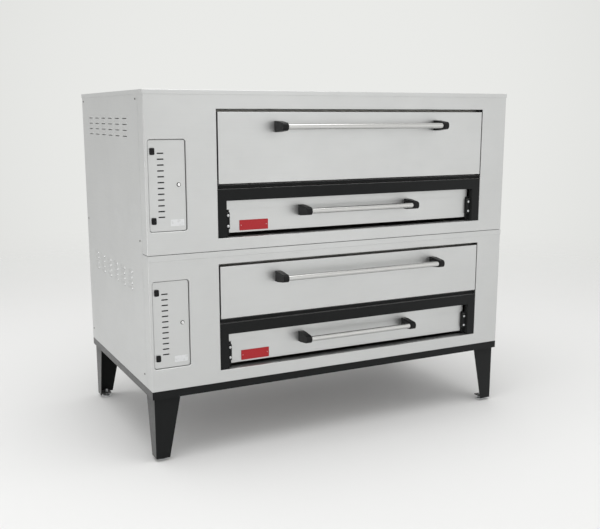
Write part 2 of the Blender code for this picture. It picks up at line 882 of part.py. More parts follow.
def gas_train(deck):
    """Inlet, pipes, safety valve, thermostat body, manifold and burners, as one."""
    inlet = deck.z(INLET_Z)
    manifold = deck.z(MANIFOLD_Z)
    valve_back = VALVE_FRONT + VALVE_LENGTH
    end = DEPTH + INLET_REACH
    train = rod(
        f"{deck.name}_gas_train",
        (CONTROL_X, valve_back - OVERRUN, inlet),
        (CONTROL_X, end - 0.004, inlet),
        PIPE_RADIUS,
        12,
    )
    nut_front = (CONTROL_X, end - NUT_LENGTH, inlet)
    nut = rod("nut", nut_front, (CONTROL_X, end, inlet), NUT_RADIUS, 6)
    half = VALVE_SIZE / 2
    valve = block(
        "valve",
        (CONTROL_X - half, VALVE_FRONT, inlet - half),
        (CONTROL_X + half, valve_back, inlet + half),
    )
    dial_z = deck.z(DIAL_Z)
    thermostat = block(
        "thermostat",
        (CONTROL_X - THERMOSTAT_WIDTH / 2, VALVE_FRONT, dial_z - THERMOSTAT_HEIGHT / 2),
        (CONTROL_X + THERMOSTAT_WIDTH / 2, valve_back - SHEET, dial_z + THERMOSTAT_HEIGHT / 2),
    )
    link_y = VALVE_FRONT + LINK_OFFSET
    link_top = (CONTROL_X, link_y, dial_z)
    link = rod("link", (CONTROL_X, link_y, inlet), link_top, LINK_RADIUS, 12)
    drop = rod(
        "drop",
        (CONTROL_X, MANIFOLD_Y, inlet),
        (CONTROL_X, MANIFOLD_Y, manifold - MANIFOLD_RADIUS),
        PIPE_RADIUS,
        12,
    )
    header = rod(
        "header",
        (CONTROL_X - MANIFOLD_RADIUS - 0.006, MANIFOLD_Y, manifold),
        (CHAMBER_X + LINER_HALF - 0.030, MANIFOLD_Y, manifold),
        MANIFOLD_RADIUS,
        12,
    )
    stems = []
    for height in (inlet, dial_z):
        stems.append(
            rod(
                "stem",
                (CONTROL_X, STEM_FRONT, height),
                (CONTROL_X, VALVE_FRONT + OVERRUN, height),
                PIN_RADIUS,
                12,
            )
        )
    burners = []
    burner_z = manifold + BURNER_RISE
    for offset in BURNER_SPREAD:
        near = (CHAMBER_X + offset, BURNER_FRONT, burner_z)
        far = (CHAMBER_X + offset, BURNER_BACK, burner_z)
        burners.append(rod("burner", near, far, BURNER_RADIUS, 12))
    join(train, nut, valve, thermostat, link, drop, header, *stems, *burners)
    near = (CONTROL_X, end - INLET_DEPTH, inlet)
    far = (CONTROL_X, end + OVERRUN, inlet)
    return cut(train, rod("socket", near, far, INLET_BORE, 12))


# ---- Black frame round the burner door -----------------------------------------------


def door_frame(deck):
    """Sill, top rail and side rails of folded black sheet, with the pivot brackets."""
    back = FRAME_FACE + FRAME_DEPTH
    low = deck.opening_low + GAP
    bars = [
        ((-FRAME_HALF, deck.z(RAIL_LOW)), (FRAME_HALF, deck.z(SILL_HIGH))),
        ((-FRAME_HALF, low), (-FRAME_INNER_HALF, deck.z(RAIL_LOW) + SHEET)),
        ((FRAME_INNER_HALF, low), (FRAME_HALF, deck.z(RAIL_LOW) + SHEET)),
    ]
    solids = []
    hollows = []
    for (x0, z0), (x1, z1) in bars:
        solids.append(
            block("bar", (CHAMBER_X + x0, FRAME_FACE, z0), (CHAMBER_X + x1, back, z1))
        )
        hollows.append(
            block(
                "hollow",
                (CHAMBER_X + x0 + SHEET, FRAME_FACE + SHEET, z0 + SHEET),
                (CHAMBER_X + x1 - SHEET, back + OVERRUN, z1 - SHEET),
            )
        )
    frame = solids[0]
    frame.name = f"{deck.name}_door_frame"
    join(frame, *solids[1:])
    past = FRAME_HALF + OVERRUN
    groove = block(
        "groove",
        (CHAMBER_X - past, -OVERRUN, deck.z(RAIL_HIGH)),
        (CHAMBER_X + past, FRAME_FACE + SHEET / 2, deck.z(RAIL_HIGH) + GROOVE),
    )
    cut(frame, *hollows, groove)
    shelf = block(
        "shelf",
        (CHAMBER_X - FRAME_HALF, back - SHEET, deck.z(SILL_HIGH) - SHEET),
        (CHAMBER_X + FRAME_HALF, LINER_FRONT - SHEET, deck.z(SILL_HIGH)),
    )
    join(frame, shelf)
    for side in (-1, 1):
        join(frame, *pivot_bracket(deck, side, back))
        start = deck.burner_pin(side, BURNER_HALF - OVERRUN)
        end = deck.burner_pin(side, FRAME_HALF)
        cut(frame, rod("pin_hole", start, end, PIN_RADIUS + GAP))
    return frame


def pivot_bracket(deck, side, back):
    """A plate behind one side rail, its two screws, and an ear for the door's pin."""
    inner = BURNER_HALF + SHEET
    face = back - SHEET + GAP
    outer = FRAME_HALF - 2 * SHEET
    xs = sorted((CHAMBER_X + side * inner, CHAMBER_X + side * outer))
    parts = [
        block(
            "bracket",
            (xs[0], face, deck.z(BURNER_LOW) - 0.012),
            (xs[1], face + BRACKET_PLATE, deck.z(BRACKET_TOP)),
        )
    ]
    ear = sorted((CHAMBER_X + side * inner, CHAMBER_X + side * (inner + BRACKET_PLATE)))
    parts.append(
        block(
            "ear",
            (ear[0], face + SHEET / 2, deck.z(BURNER_LOW) - 0.006),
            (ear[1], BURNER_FACE + BURNER_THICK + 0.004, deck.z(BURNER_LOW) + 0.028),
        )
    )
    for height in SCREW_HEIGHTS:
        x = CHAMBER_X + side * SCREW_HALF
        z = deck.z(height)
        start = (x, face - 0.0035, z)
        parts.append(rod("screw", start, (x, face + SHEET, z), SCREW_RADIUS, 12))
    return parts


# ---- Doors ---------------------------------------------------------------------------


def chamber_door(deck):
    """A hollow door of folded sheet. The shaft runs through its lower front corner."""
    low = (CHAMBER_X - DOOR_HALF, 0.0, deck.door_low)
    high = (CHAMBER_X + DOOR_HALF, DOOR_THICK, deck.door_high)
    door = rounded_block(f"{deck.name}_chamber_door", low, high, 0, DOOR_BEND, 2)
    wall = Vector((SHEET, SHEET, SHEET))
    hollow = block("hollow", Vector(low) + wall, Vector(high) - wall)
    start = (CHAMBER_X - DOOR_HALF - OVERRUN, deck.axis.y, deck.axis.z)
    end = (CHAMBER_X + DOOR_HALF + OVERRUN, deck.axis.y, deck.axis.z)
    return cut(door, hollow, rod("bore", start, end, SHAFT_RADIUS + GAP))


def door_shaft(deck):
    """The hinge shaft, with the counterbalance arm and its pin at the left end."""
    arm_left = ARM_X - ARM_THICK / 2
    start = (ARM_X, deck.axis.y, deck.axis.z)
    end = (CHAMBER_X + OPENING_HALF + BEARING_LENGTH, deck.axis.y, deck.axis.z)
    shaft = rod(f"{deck.name}_door_shaft", start, end, SHAFT_RADIUS)
    along = (deck.arm_end - deck.axis).normalized()
    across = Vector((0.0, along.z, -along.y)) * ARM_WIDTH / 2
    corners = [
        deck.axis - along * ARM_HEEL + across,
        deck.arm_end + along * ARM_WIDTH / 2 + across,
        deck.arm_end + along * ARM_WIDTH / 2 - across,
        deck.axis - along * ARM_HEEL - across,
    ]
    outline = [(corner.y, corner.z) for corner in corners]
    arm = plate("arm", outline, "X", arm_left, arm_left + ARM_THICK)
    pin = rod(
        "pin",
        (ARM_X, deck.arm_end.y, deck.arm_end.z),
        (ROD_X - 0.010, deck.arm_end.y, deck.arm_end.z),
        PIN_RADIUS,
    )
    return join(shaft, arm, pin)


def spring_rod(deck):
    """A rod with an eye on the arm's pin, and a washer and nut under the spring."""
    x = ROD_X
    y = deck.arm_end.y
    half = 0.005
    eye = rod(
        f"{deck.name}_spring_rod",
        (x - half, y, deck.arm_end.z),
        (x + half, y, deck.arm_end.z),
        EYE_RADIUS,
    )
    stem = rod("stem", (x, y, deck.z(ROD_BOTTOM)), (x, y, deck.arm_end.z), ROD_RADIUS, 12)
    washer_low = deck.z(WASHER_Z)
    washer = rod(
        "washer", (x, y, washer_low), (x, y, washer_low + WASHER_THICK), WASHER_RADIUS
    )
    nut = rod("nut", (x, y, washer_low - 0.007), (x, y, washer_low + GAP), 0.0075, 6)
    join(eye, stem, washer, nut)
    hole = rod(
        "hole", (x - 0.02, y, deck.arm_end.z), (x + 0.02, y, deck.arm_end.z), PIN_RADIUS + GAP
    )
    return cut(eye, hole)


def counterbalance_spring(deck):
    """A compression spring round the rod, between its washer and the bracket."""
    low = deck.z(WASHER_Z) + WASHER_THICK + SPRING_WIRE + GAP
    high = deck.z(BRACKET_Z) - SPRING_WIRE - GAP
    curve = bpy.data.curves.new("spring", "CURVE")
    curve.dimensions = "3D"
    curve.bevel_depth = SPRING_WIRE
    curve.bevel_resolution = 1
    curve.use_fill_caps = True
    spline = curve.splines.new("POLY")
    steps = SPRING_TURNS * SPRING_POINTS
    spline.points.add(steps)
    for index, point in enumerate(spline.points):
        share = index / steps
        angle = 2 * math.pi * SPRING_TURNS * share
        x = ROD_X + SPRING_RADIUS * math.cos(angle)
        y = deck.arm_end.y + SPRING_RADIUS * math.sin(angle)
        point.co = (x, y, low + (high - low) * share, 1.0)
    return to_mesh(add_object(f"{deck.name}_counterbalance_spring", curve))


def burner_door(deck):
    """A shallow pan with ears at its top corners and a pivot pin at each end."""
    back = BURNER_FACE + BURNER_THICK
    low = deck.z(BURNER_LOW)
    high = deck.z(BURNER_HIGH)
    ear_low = deck.z(EAR_LOW)
    pan = block(
        f"{deck.name}_burner_door",
        (CHAMBER_X - EAR_HALF, BURNER_FACE, low),
        (CHAMBER_X + EAR_HALF, back, high),
    )
    for side in (-1, 1):
        edge = CHAMBER_X + side * BURNER_HALF
        xs = sorted((edge, CHAMBER_X + side * (EAR_HALF + OVERRUN)))
        notch = block("notch", (xs[0], 0.0, low - OVERRUN), (xs[1], back + OVERRUN, ear_low))
        cut(pan, notch)
    inner = BURNER_HALF - SHEET
    hollow = block(
        "hollow",
        (CHAMBER_X - inner, BURNER_FACE + SHEET, low + SHEET),
        (CHAMBER_X + inner, back + OVERRUN, high - SHEET),
    )
    cut(pan, hollow)
    pins = []
    for side in (-1, 1):
        start = deck.burner_pin(side, BURNER_HALF - 2 * SHEET)
        end = deck.burner_pin(side, BURNER_PIN_REACH)
        pins.append(rod("pin", start, end, PIN_RADIUS))
    return join(pan, *pins)


def badge(deck):
    """A plain plate on the burner door."""
    face = BURNER_FACE - GAP
    return block(
        f"{deck.name}_badge",
        (BADGE_LOW[0], face - BADGE_THICK, deck.z(BADGE_LOW[1])),
        (BADGE_HIGH[0], face, deck.z(BADGE_HIGH[1])),
    )


def handle_mount(name, x_outer, side, face, z):
    """A black mount: a tall base on the door, tapering to a round nose for the tube."""
    outline = [(face - GAP, z - MOUNT_BASE), (face - GAP, z + MOUNT_BASE)]
    outline.append((face - MOUNT_SHOULDER, z + MOUNT_BASE))
    nose_y = face - HANDLE_REACH + MOUNT_NOSE
    for step in range(7):
        angle = math.pi / 2 + math.pi * step / 6
        outline.append(
            (nose_y + MOUNT_NOSE * math.cos(angle), z + MOUNT_NOSE * math.sin(angle))
        )
    outline.append((face - MOUNT_SHOULDER, z - MOUNT_BASE))
    inner = x_outer - side * MOUNT_WIDTH
    mount = plate(name, outline, "X", min(x_outer, inner), max(x_outer, inner))
    tube_y = face - TUBE_STANDOFF
    start = (inner - side * OVERRUN, tube_y, z)
    end = (inner + side * SOCKET_DEPTH, tube_y, z)
    return cut(mount, rod("socket", start, end, TUBE_RADIUS + GAP, 20))


def handle_tube(name, half, face, z):
    """A bright tube between the two mounts, its ends in their sockets."""
    y = face - TUBE_STANDOFF
    reach = half - MOUNT_WIDTH + SOCKET_DEPTH - GAP
    start = Vector((CHAMBER_X - reach, y, z))
    end = Vector((CHAMBER_X + reach, y, z))
    tube = rod(name, start, end, TUBE_RADIUS, 20)
    more = Vector((OVERRUN, 0.0, 0.0))
    return cut(tube, rod("bore", start - more, end + more, TUBE_RADIUS - TUBE_WALL, 20))


def add_handle(oven, name, joint, half, face, z):
    oven.add(handle_tube(f"{name}_handle_tube", half, face, z), "polished_tube", joint)
    for hand, side in (("left", -1), ("right", 1)):
        mount = handle_mount(
            f"{name}_handle_mount_{hand}", CHAMBER_X + side * half, side, face, z
        )
        oven.add(mount, "black_plastic", joint)


def build_doors(oven, deck):
    name = deck.name
    hinge = oven.joint(f"joint_{name}_chamber_door", deck.axis)
    oven.add(chamber_door(deck), "stainless", hinge)
    oven.add(door_shaft(deck), "gas_pipe", hinge)
    z = deck.door_high - DOOR_HANDLE_DROP
    add_handle(oven, f"{name}_door", hinge, DOOR_HANDLE_HALF, 0.0, z)
    rod_pivot = oven.joint(f"joint_{name}_spring_rod", deck.arm_end, hinge)
    oven.add(spring_rod(deck), "zinc", rod_pivot)
    oven.add(counterbalance_spring(deck), "spring_steel")
    drop = oven.joint(f"joint_{name}_burner_door", deck.burner_axis)
    oven.add(burner_door(deck), "stainless", drop)
    oven.add(badge(deck), "red_paint", drop)
    z = deck.z(BURNER_LOW) + BURNER_HANDLE_RISE
    add_handle(oven, f"{name}_burner_door", drop, BURNER_HANDLE_HALF, BURNER_FACE, z)


# ---- Control door, latch, dial and knob ----------------------------------------------


def control_door(deck):
    """A slotted sheet door with rounded corners, folded edges and two hinge blocks."""
    inset = Vector((CONTROL_GAP, 0.0, CONTROL_GAP))
    low = Vector((CONTROL_LOW[0], CONTROL_FACE, deck.z(CONTROL_LOW[1]))) + inset
    high = Vector((CONTROL_HIGH[0], CONTROL_JAMB, deck.z(CONTROL_HIGH[1]))) - inset
    radius = CONTROL_RADIUS - CONTROL_GAP
    door = rounded_block(f"{deck.name}_control_door", low, high, 1, radius)
    wall = Vector((SHEET, SHEET, SHEET))
    far = high - wall + Vector((0.0, OVERRUN + SHEET, 0.0))
    hollow = rounded_block("hollow", low + wall, far, 1, radius - SHEET)
    cut(door, hollow)
    blocks = []
    for height in HINGE_ROWS:
        middle = deck.z(height)
        near = (HINGE_LOW_X, CONTROL_FACE - HARDWARE_RISE, middle - HINGE_HEIGHT / 2)
        far = (HINGE_LOW_X + HINGE_WIDTH, CONTROL_FACE + SHEET / 2, middle + HINGE_HEIGHT / 2)
        blocks.append(rounded_block("hinge", near, far, 1, HINGE_RADIUS, 2))
    join(door, *blocks)
    slots = []
    for index in range(SLOT_COUNT):
        z = deck.z(SLOT_LOW) + index * SLOT_PITCH
        near = (SLOT_X, CONTROL_FACE - OVERRUN, z - SLOT_HEIGHT / 2)
        far = (SLOT_X + SLOT_LENGTH, CONTROL_FACE + OVERRUN, z + SLOT_HEIGHT / 2)
        slots.append(block("slot", near, far))
    z = deck.z(LATCH_Z)
    bore = rod("bore", (LATCH_X, 0.0, z), (LATCH_X, 2 * OVERRUN, z), LATCH_BARREL + GAP)
    return cut(door, merge(slots), bore)


def control_door_latch(deck):
    """A cam lock: round head, barrel and a cam that stands down when unlocked."""
    z = deck.z(LATCH_Z)
    head = rod(
        f"{deck.name}_control_door_latch",
        (LATCH_X, CONTROL_FACE - HARDWARE_RISE, z),
        (LATCH_X, CONTROL_FACE - GAP, z),
        LATCH_RADIUS,
    )
    near = (LATCH_X, CONTROL_FACE - HARDWARE_RISE / 2, z)
    far = (LATCH_X, CAM_FACE + CAM_THICK / 2, z)
    barrel = rod("barrel", near, far, LATCH_BARREL)
    half = CAM_WIDTH / 2
    cam = block(
        "cam",
        (LATCH_X - half, CAM_FACE, z - CAM_LENGTH),
        (LATCH_X + half, CAM_FACE + CAM_THICK, z + half),
    )
    return join(head, barrel, cam)


def turning_knob(name, x, z, front, radius, grip):
    """A round knob with a raised grip bar, bored from behind for its stem."""
    back = VALVE_FRONT - 0.004
    knob = rod(name, (x, front + grip, z), (x, back, z), radius, 24)
    bar = block(
        "bar",
        (x - 0.004, front, z - radius + 0.003),
        (x + 0.004, front + grip + SHEET, z + radius - 0.003),
    )
    join(knob, bar)
    bore = rod("bore", (x, STEM_FRONT - GAP, z), (x, back + OVERRUN, z), PIN_RADIUS + GAP)
    return cut(knob, bore)


def build_controls(oven, deck):
    name = deck.name
    hinge = oven.joint(f"joint_{name}_control_door", (*HINGE_AXIS, deck.z(LATCH_Z)))
    oven.add(control_door(deck), "stainless", hinge)
    latch_place = (LATCH_X, CONTROL_FACE - HARDWARE_RISE, deck.z(LATCH_Z))
    latch = oven.joint(f"joint_{name}_latch", latch_place, hinge)
    oven.add(control_door_latch(deck), "chrome", latch)
    dial_z = deck.z(DIAL_Z)
    dial = oven.joint(f"joint_{name}_dial", (CONTROL_X, DIAL_FRONT, dial_z))
    knob = turning_knob(
        f"{name}_thermostat_dial", CONTROL_X, dial_z, DIAL_FRONT, DIAL_RADIUS, 0.008
    )
    oven.add(knob, "black_plastic", dial)
    valve_z = deck.z(INLET_Z)
    valve = oven.joint(f"joint_{name}_valve", (CONTROL_X, KNOB_FRONT, valve_z))
    knob = turning_knob(
        f"{name}_gas_valve_knob", CONTROL_X, valve_z, KNOB_FRONT, KNOB_RADIUS, 0.010
    )
    oven.add(knob, "black_plastic", valve)


# ---- The whole oven ------------------------------------------------------------------


def build_deck(oven, deck, top_panel):
    build_deck_panels(oven, deck, top_panel)
    oven.add(chamber_liner(deck), "chamber_steel")
    oven.add(insulation(deck), "insulation")
    oven.add(hearth_stone(deck), "stone")
    oven.add(gas_train(deck), "gas_pipe")
    oven.add(door_frame(deck), "black_enamel")
    build_doors(oven, deck)
    build_controls(oven, deck)


def build_oven():
    clear_scene()
    oven = Assembly()
    build_base(oven)
    build_side_panels(oven)
    lower = Deck("lower", BODY_BOTTOM, DECK_SEAM, LOWER_DOOR_HEIGHT)
    upper = Deck("upper", DECK_SEAM, BODY_TOP, UPPER_DOOR_HEIGHT)
    build_deck(oven, lower, lower_top_panel)
    build_deck(oven, upper, upper_top_panel)


build_oven()
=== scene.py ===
"""Looks for a stacked two-deck pizza oven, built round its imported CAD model.

Metres, +Z up, front towards -Y. Every place comes from the CAD nodes' boxes. Pieces are
meshes made in the oven's own coordinates, so their objects sit at the origin.
"""

import math

import bmesh
import bpy
from mathutils import Matrix, Vector

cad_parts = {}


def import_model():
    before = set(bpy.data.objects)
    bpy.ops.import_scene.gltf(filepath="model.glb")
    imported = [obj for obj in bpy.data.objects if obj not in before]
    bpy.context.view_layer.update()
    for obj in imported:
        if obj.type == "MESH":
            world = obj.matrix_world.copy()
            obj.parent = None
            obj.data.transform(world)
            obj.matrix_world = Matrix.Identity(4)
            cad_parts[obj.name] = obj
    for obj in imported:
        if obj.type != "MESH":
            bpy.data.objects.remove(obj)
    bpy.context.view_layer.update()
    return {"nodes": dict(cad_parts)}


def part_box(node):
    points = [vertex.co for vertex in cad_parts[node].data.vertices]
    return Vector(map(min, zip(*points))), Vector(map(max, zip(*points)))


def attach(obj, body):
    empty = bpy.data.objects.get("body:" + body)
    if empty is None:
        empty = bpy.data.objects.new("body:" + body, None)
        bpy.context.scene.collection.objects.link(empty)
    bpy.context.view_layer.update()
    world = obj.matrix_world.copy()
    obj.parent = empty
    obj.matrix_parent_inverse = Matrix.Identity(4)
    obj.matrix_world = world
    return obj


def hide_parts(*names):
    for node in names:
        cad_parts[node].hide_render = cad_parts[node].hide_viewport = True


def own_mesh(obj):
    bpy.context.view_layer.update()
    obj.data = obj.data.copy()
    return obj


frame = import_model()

DECKS = ("lower", "upper")
SIDES = (("left", -1), ("right", 1))

SHEET = 0.002
GAP = 0.0003
OVERRUN = 0.010
FOLD = 0.003
ROLL = 0.004
EDGE = 0.0005
MOUNT_SHOULDER = 0.024
SEAM_GAP = 0.0018
SIDE_SEAM = 0.0012
BOSS_DEPTH = 0.0155
CONTROL_LATCH_RISE = 0.006
LATCH_AXIS_DROP = 0.0075
HINGE_INSET = 0.012
SHAFT_RADIUS = 0.008
CRANK_REACH = 0.060 / math.sqrt(2)
BURNER_FLOOR_DROP = 0.060
BURNER_DOOR_HALF = 0.697
BURNER_EAR_HALF = 0.7095
FRAME_DEPTH = 0.030
RAIL_BOTTOM = 0.234
RAIL_TOP = 0.288
FRAME_OPENING_HALF = 0.720
SILL_GROOVE = 0.004
SILL_SETBACK = 0.0105
BRACKET_INNER = 0.699
BRACKET_OUTER = 0.761
BRACKET_SCREW = 0.7078
BRACKET_SCREW_HEIGHTS = (0.1125, 0.1635)
PIPE_X = -0.915
BODY_BACK_OFFSET = 0.080

DOOR_TOP_GAP = 0.012
JAMB_DEPTH = 0.055
CONTROL_GAP = 0.002
CONTROL_JAMB = 0.018
CONTROL_RADIUS = 0.012

CAMERA_PLACE = (-2.1194, -4.1946, 1.6257)
CAMERA_PITCH = -11.07
CAMERA_YAW = 27.16
CAMERA_LENS = 50.6
CAMERA_SHIFT = 0.0253
BACKDROP = (0.80, 0.805, 0.785)
BACKDROP_MIDDLE = (0.456, 0.89, 0.0)
ROOM_TINT = (1.0, 1.0, 0.985)
ROOM_FRONT = 1.0
ROOM_REAR = 0.84
ROOM_LOW = 0.84
ROOM_HIGH = 0.98
GLOW_REACH = (0.86, 1.0)
GLOW_STRENGTH = (0.86, 1.03)
FLOOR_COLOUR = (0.79, 0.79, 0.79)
FLOOR_RADIUS = 14.0
FLOOR_FADE = (2.2, 8.0)


# ---- Mesh tools ----------------------------------------------------------------------


def new_object(name, shape):
    """Puts a bmesh in the scene as an object and frees it."""
    mesh = bpy.data.meshes.new(name)
    bmesh.ops.recalc_face_normals(shape, faces=shape.faces)
    shape.to_mesh(mesh)
    shape.free()
    piece = bpy.data.objects.new(name, mesh)
    bpy.context.scene.collection.objects.link(piece)
    return piece


def block(name, low, high):
    """A box between two corners."""
    shape = bmesh.new()
    bmesh.ops.create_cube(shape, size=1.0)
    bmesh.ops.scale(shape, vec=Vector(high) - Vector(low), verts=shape.verts)
    bmesh.ops.translate(shape, vec=(Vector(high) + Vector(low)) / 2, verts=shape.verts)
    return new_object(name, shape)


def spot_on(axis, across, up, depth):
    """A point from an outline's two numbers and its depth along the axis."""
    if axis == "X":
        return Vector((depth, across, up))
    if axis == "Y":
        return Vector((across, depth, up))
    return Vector((across, up, depth))


def prism(name, outline, axis, start, end):
    """An outline pushed along an axis. Its points are (Y, Z), (X, Z) or (X, Y) pairs."""
    shape = bmesh.new()
    near = [shape.verts.new(spot_on(axis, a, b, start)) for a, b in outline]
    far = [shape.verts.new(spot_on(axis, a, b, end)) for a, b in outline]
    shape.faces.new(near)
    shape.faces.new(far[::-1])
    for index in range(len(outline)):
        after = (index + 1) % len(outline)
        shape.faces.new((near[index], far[index], far[after], near[after]))
    return new_object(name, shape)


def fillet(corners, steps=6):
    """An outline from (across, up, radius) corners, each rounded to its radius."""
    outline = []
    for index, (across, up, radius) in enumerate(corners):
        here = Vector((across, up))
        if radius == 0:
            outline.append(tuple(here))
            continue
        before = (Vector(corners[index - 1][:2]) - here).normalized()
        after = (Vector(corners[(index + 1) % len(corners)][:2]) - here).normalized()
        half = before.angle(after) / 2
        centre = here + (before + after).normalized() * radius / math.sin(half)
        start = here + before * radius / math.tan(half) - centre
        end = here + after * radius / math.tan(half) - centre
        first = math.atan2(start.y, start.x)
        turn = math.remainder(math.atan2(end.y, end.x) - first, 2 * math.pi)
        for step in range(steps + 1):
            angle = first + turn * step / steps
            outline.append(
                (centre.x + radius * math.cos(angle), centre.y + radius * math.sin(angle))
            )
    return outline


def rectangle(low, high, radius=0.0, steps=6):
    """A rounded rectangle's outline between two (across, up) corners."""
    corners = [
        (low[0], low[1], radius),
        (high[0], low[1], radius),
        (high[0], high[1], radius),
        (low[0], high[1], radius),
    ]
    return fillet(corners, steps)


def rod(name, start, end, radius, sides=40):
    """A cylinder between two points."""
    length = (Vector(end) - Vector(start)).length
    return lathe(name, [(radius, 0.0), (radius, length)], start, end, sides)


def lathe(name, profile, start, end, sides=40, closed=False):
    """A profile of (radius, distance) points turned about the line from start to end."""
    start = Vector(start)
    turn = (Vector(end) - start).to_track_quat("Z", "Y").to_matrix().to_4x4()
    shape = bmesh.new()
    rings = []
    for radius, distance in profile:
        if radius == 0.0:
            rings.append([shape.verts.new((0.0, 0.0, distance))])
            continue
        ring = []
        for side in range(sides):
            angle = 2 * math.pi * side / sides
            ring.append(
                shape.verts.new((radius * math.cos(angle), radius * math.sin(angle), distance))
            )
        rings.append(ring)
    pairs = list(zip(rings, rings[1:]))
    if closed:
        pairs.append((rings[-1], rings[0]))
    for lower, upper in pairs:
        for side in range(sides):
            after = (side + 1) % sides
            corners = [
                lower[side % len(lower)],
                lower[after % len(lower)],
                upper[after % len(upper)],
                upper[side % len(upper)],
            ]
            shape.faces.new(list(dict.fromkeys(corners)))
    if not closed:
        for ring in (rings[0], rings[-1]):
            if len(ring) > 1:
                shape.faces.new(ring)
    bmesh.ops.transform(shape, matrix=Matrix.Translation(start) @ turn, verts=shape.verts)
    return new_object(name, shape)


def combine(target, tools, operation):
    """Cuts or joins the target with each tool in turn, and drops the tools."""
    for tool in tools:
        modifier = target.modifiers.new(tool.name, "BOOLEAN")
        modifier.operation = operation
        modifier.object = tool
    bpy.context.view_layer.update()
    seen = target.evaluated_get(bpy.context.evaluated_depsgraph_get())
    mesh = bpy.data.meshes.new_from_object(seen)
    target.modifiers.clear()
    target.data = mesh
    for tool in tools:
        bpy.data.objects.remove(tool)
    return target


def cut(target, *tools):
    """Cuts the tools out of the target."""
    return combine(target, tools, "DIFFERENCE")


def join(target, *tools):
    """Unites the tools with the target."""
    return combine(target, tools, "UNION")


def gather(target, pieces):
    """Adds other pieces' shells to the target's mesh without joining their surfaces."""
    shape = bmesh.new()
    shape.from_mesh(target.data)
    for piece in pieces:
        shape.from_mesh(piece.data)
        bpy.data.objects.remove(piece)
    shape.to_mesh(target.data)
    shape.free()
    return target


def merged(pieces):
    """One piece that holds the shells of all."""
    return gather(pieces[0], pieces[1:])


def round_edges(piece, radius, pick, segments=4):
    """Rounds the edges that pick(middle, direction) accepts."""
    shape = bmesh.new()
    shape.from_mesh(piece.data)
    chosen = []
    for edge in shape.edges:
        if len(edge.link_faces) != 2 or edge.calc_face_angle() < 0.5:
            continue
        start, end = (vert.co for vert in edge.verts)
        if pick((start + end) / 2, end - start):
            chosen.append(edge)
    bmesh.ops.bevel(
        shape, geom=chosen, offset=radius, segments=segments, profile=0.5, affect="EDGES"
    )
    shape.to_mesh(piece.data)
    shape.free()
    return piece


def soften(piece, width=EDGE, segments=2, angle=30):
    """Bevels what is still sharp and keeps flat faces flat in shading."""
    bevel = piece.modifiers.new("Edges", "BEVEL")
    bevel.width = width
    bevel.segments = segments
    bevel.limit_method = "ANGLE"
    bevel.angle_limit = math.radians(angle)
    shade(piece)
    normals = piece.modifiers.new("Normals", "WEIGHTED_NORMAL")
    normals.keep_sharp = True
    return piece


def span(middle, side, near, far):
    """Two distances to one side of a middle, in rising order."""
    return sorted((middle + side * near, middle + side * far))


def shade(piece, angle=50):
    """Smooth shading that stays sharp where faces meet at more than the angle."""
    piece.data.shade_smooth()
    piece.data.set_sharp_from_angle(angle=math.radians(angle))
    return piece


def put(piece, body, slot, *nodes):
    """Gives a piece its finish, its body and the CAD nodes that it stands for."""
    piece.data.materials.clear()
    piece.data.materials.append(FINISHES[slot])
    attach(piece, body)
    if nodes:
        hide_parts(*nodes)
    return piece


# ---- Finishes ------------------------------------------------------------------------


def map_range(nodes, links, value, source, target, smooth=False):
    """Maps one (low, high) pair to another, clamped, and gives the result's socket."""
    node = nodes.new("ShaderNodeMapRange")
    if smooth:
        node.interpolation_type = "SMOOTHSTEP"
    for name, number in zip(("From Min", "From Max", "To Min", "To Max"), (*source, *target)):
        node.inputs[name].default_value = number
    links.new(value, node.inputs["Value"])
    return node.outputs["Result"]


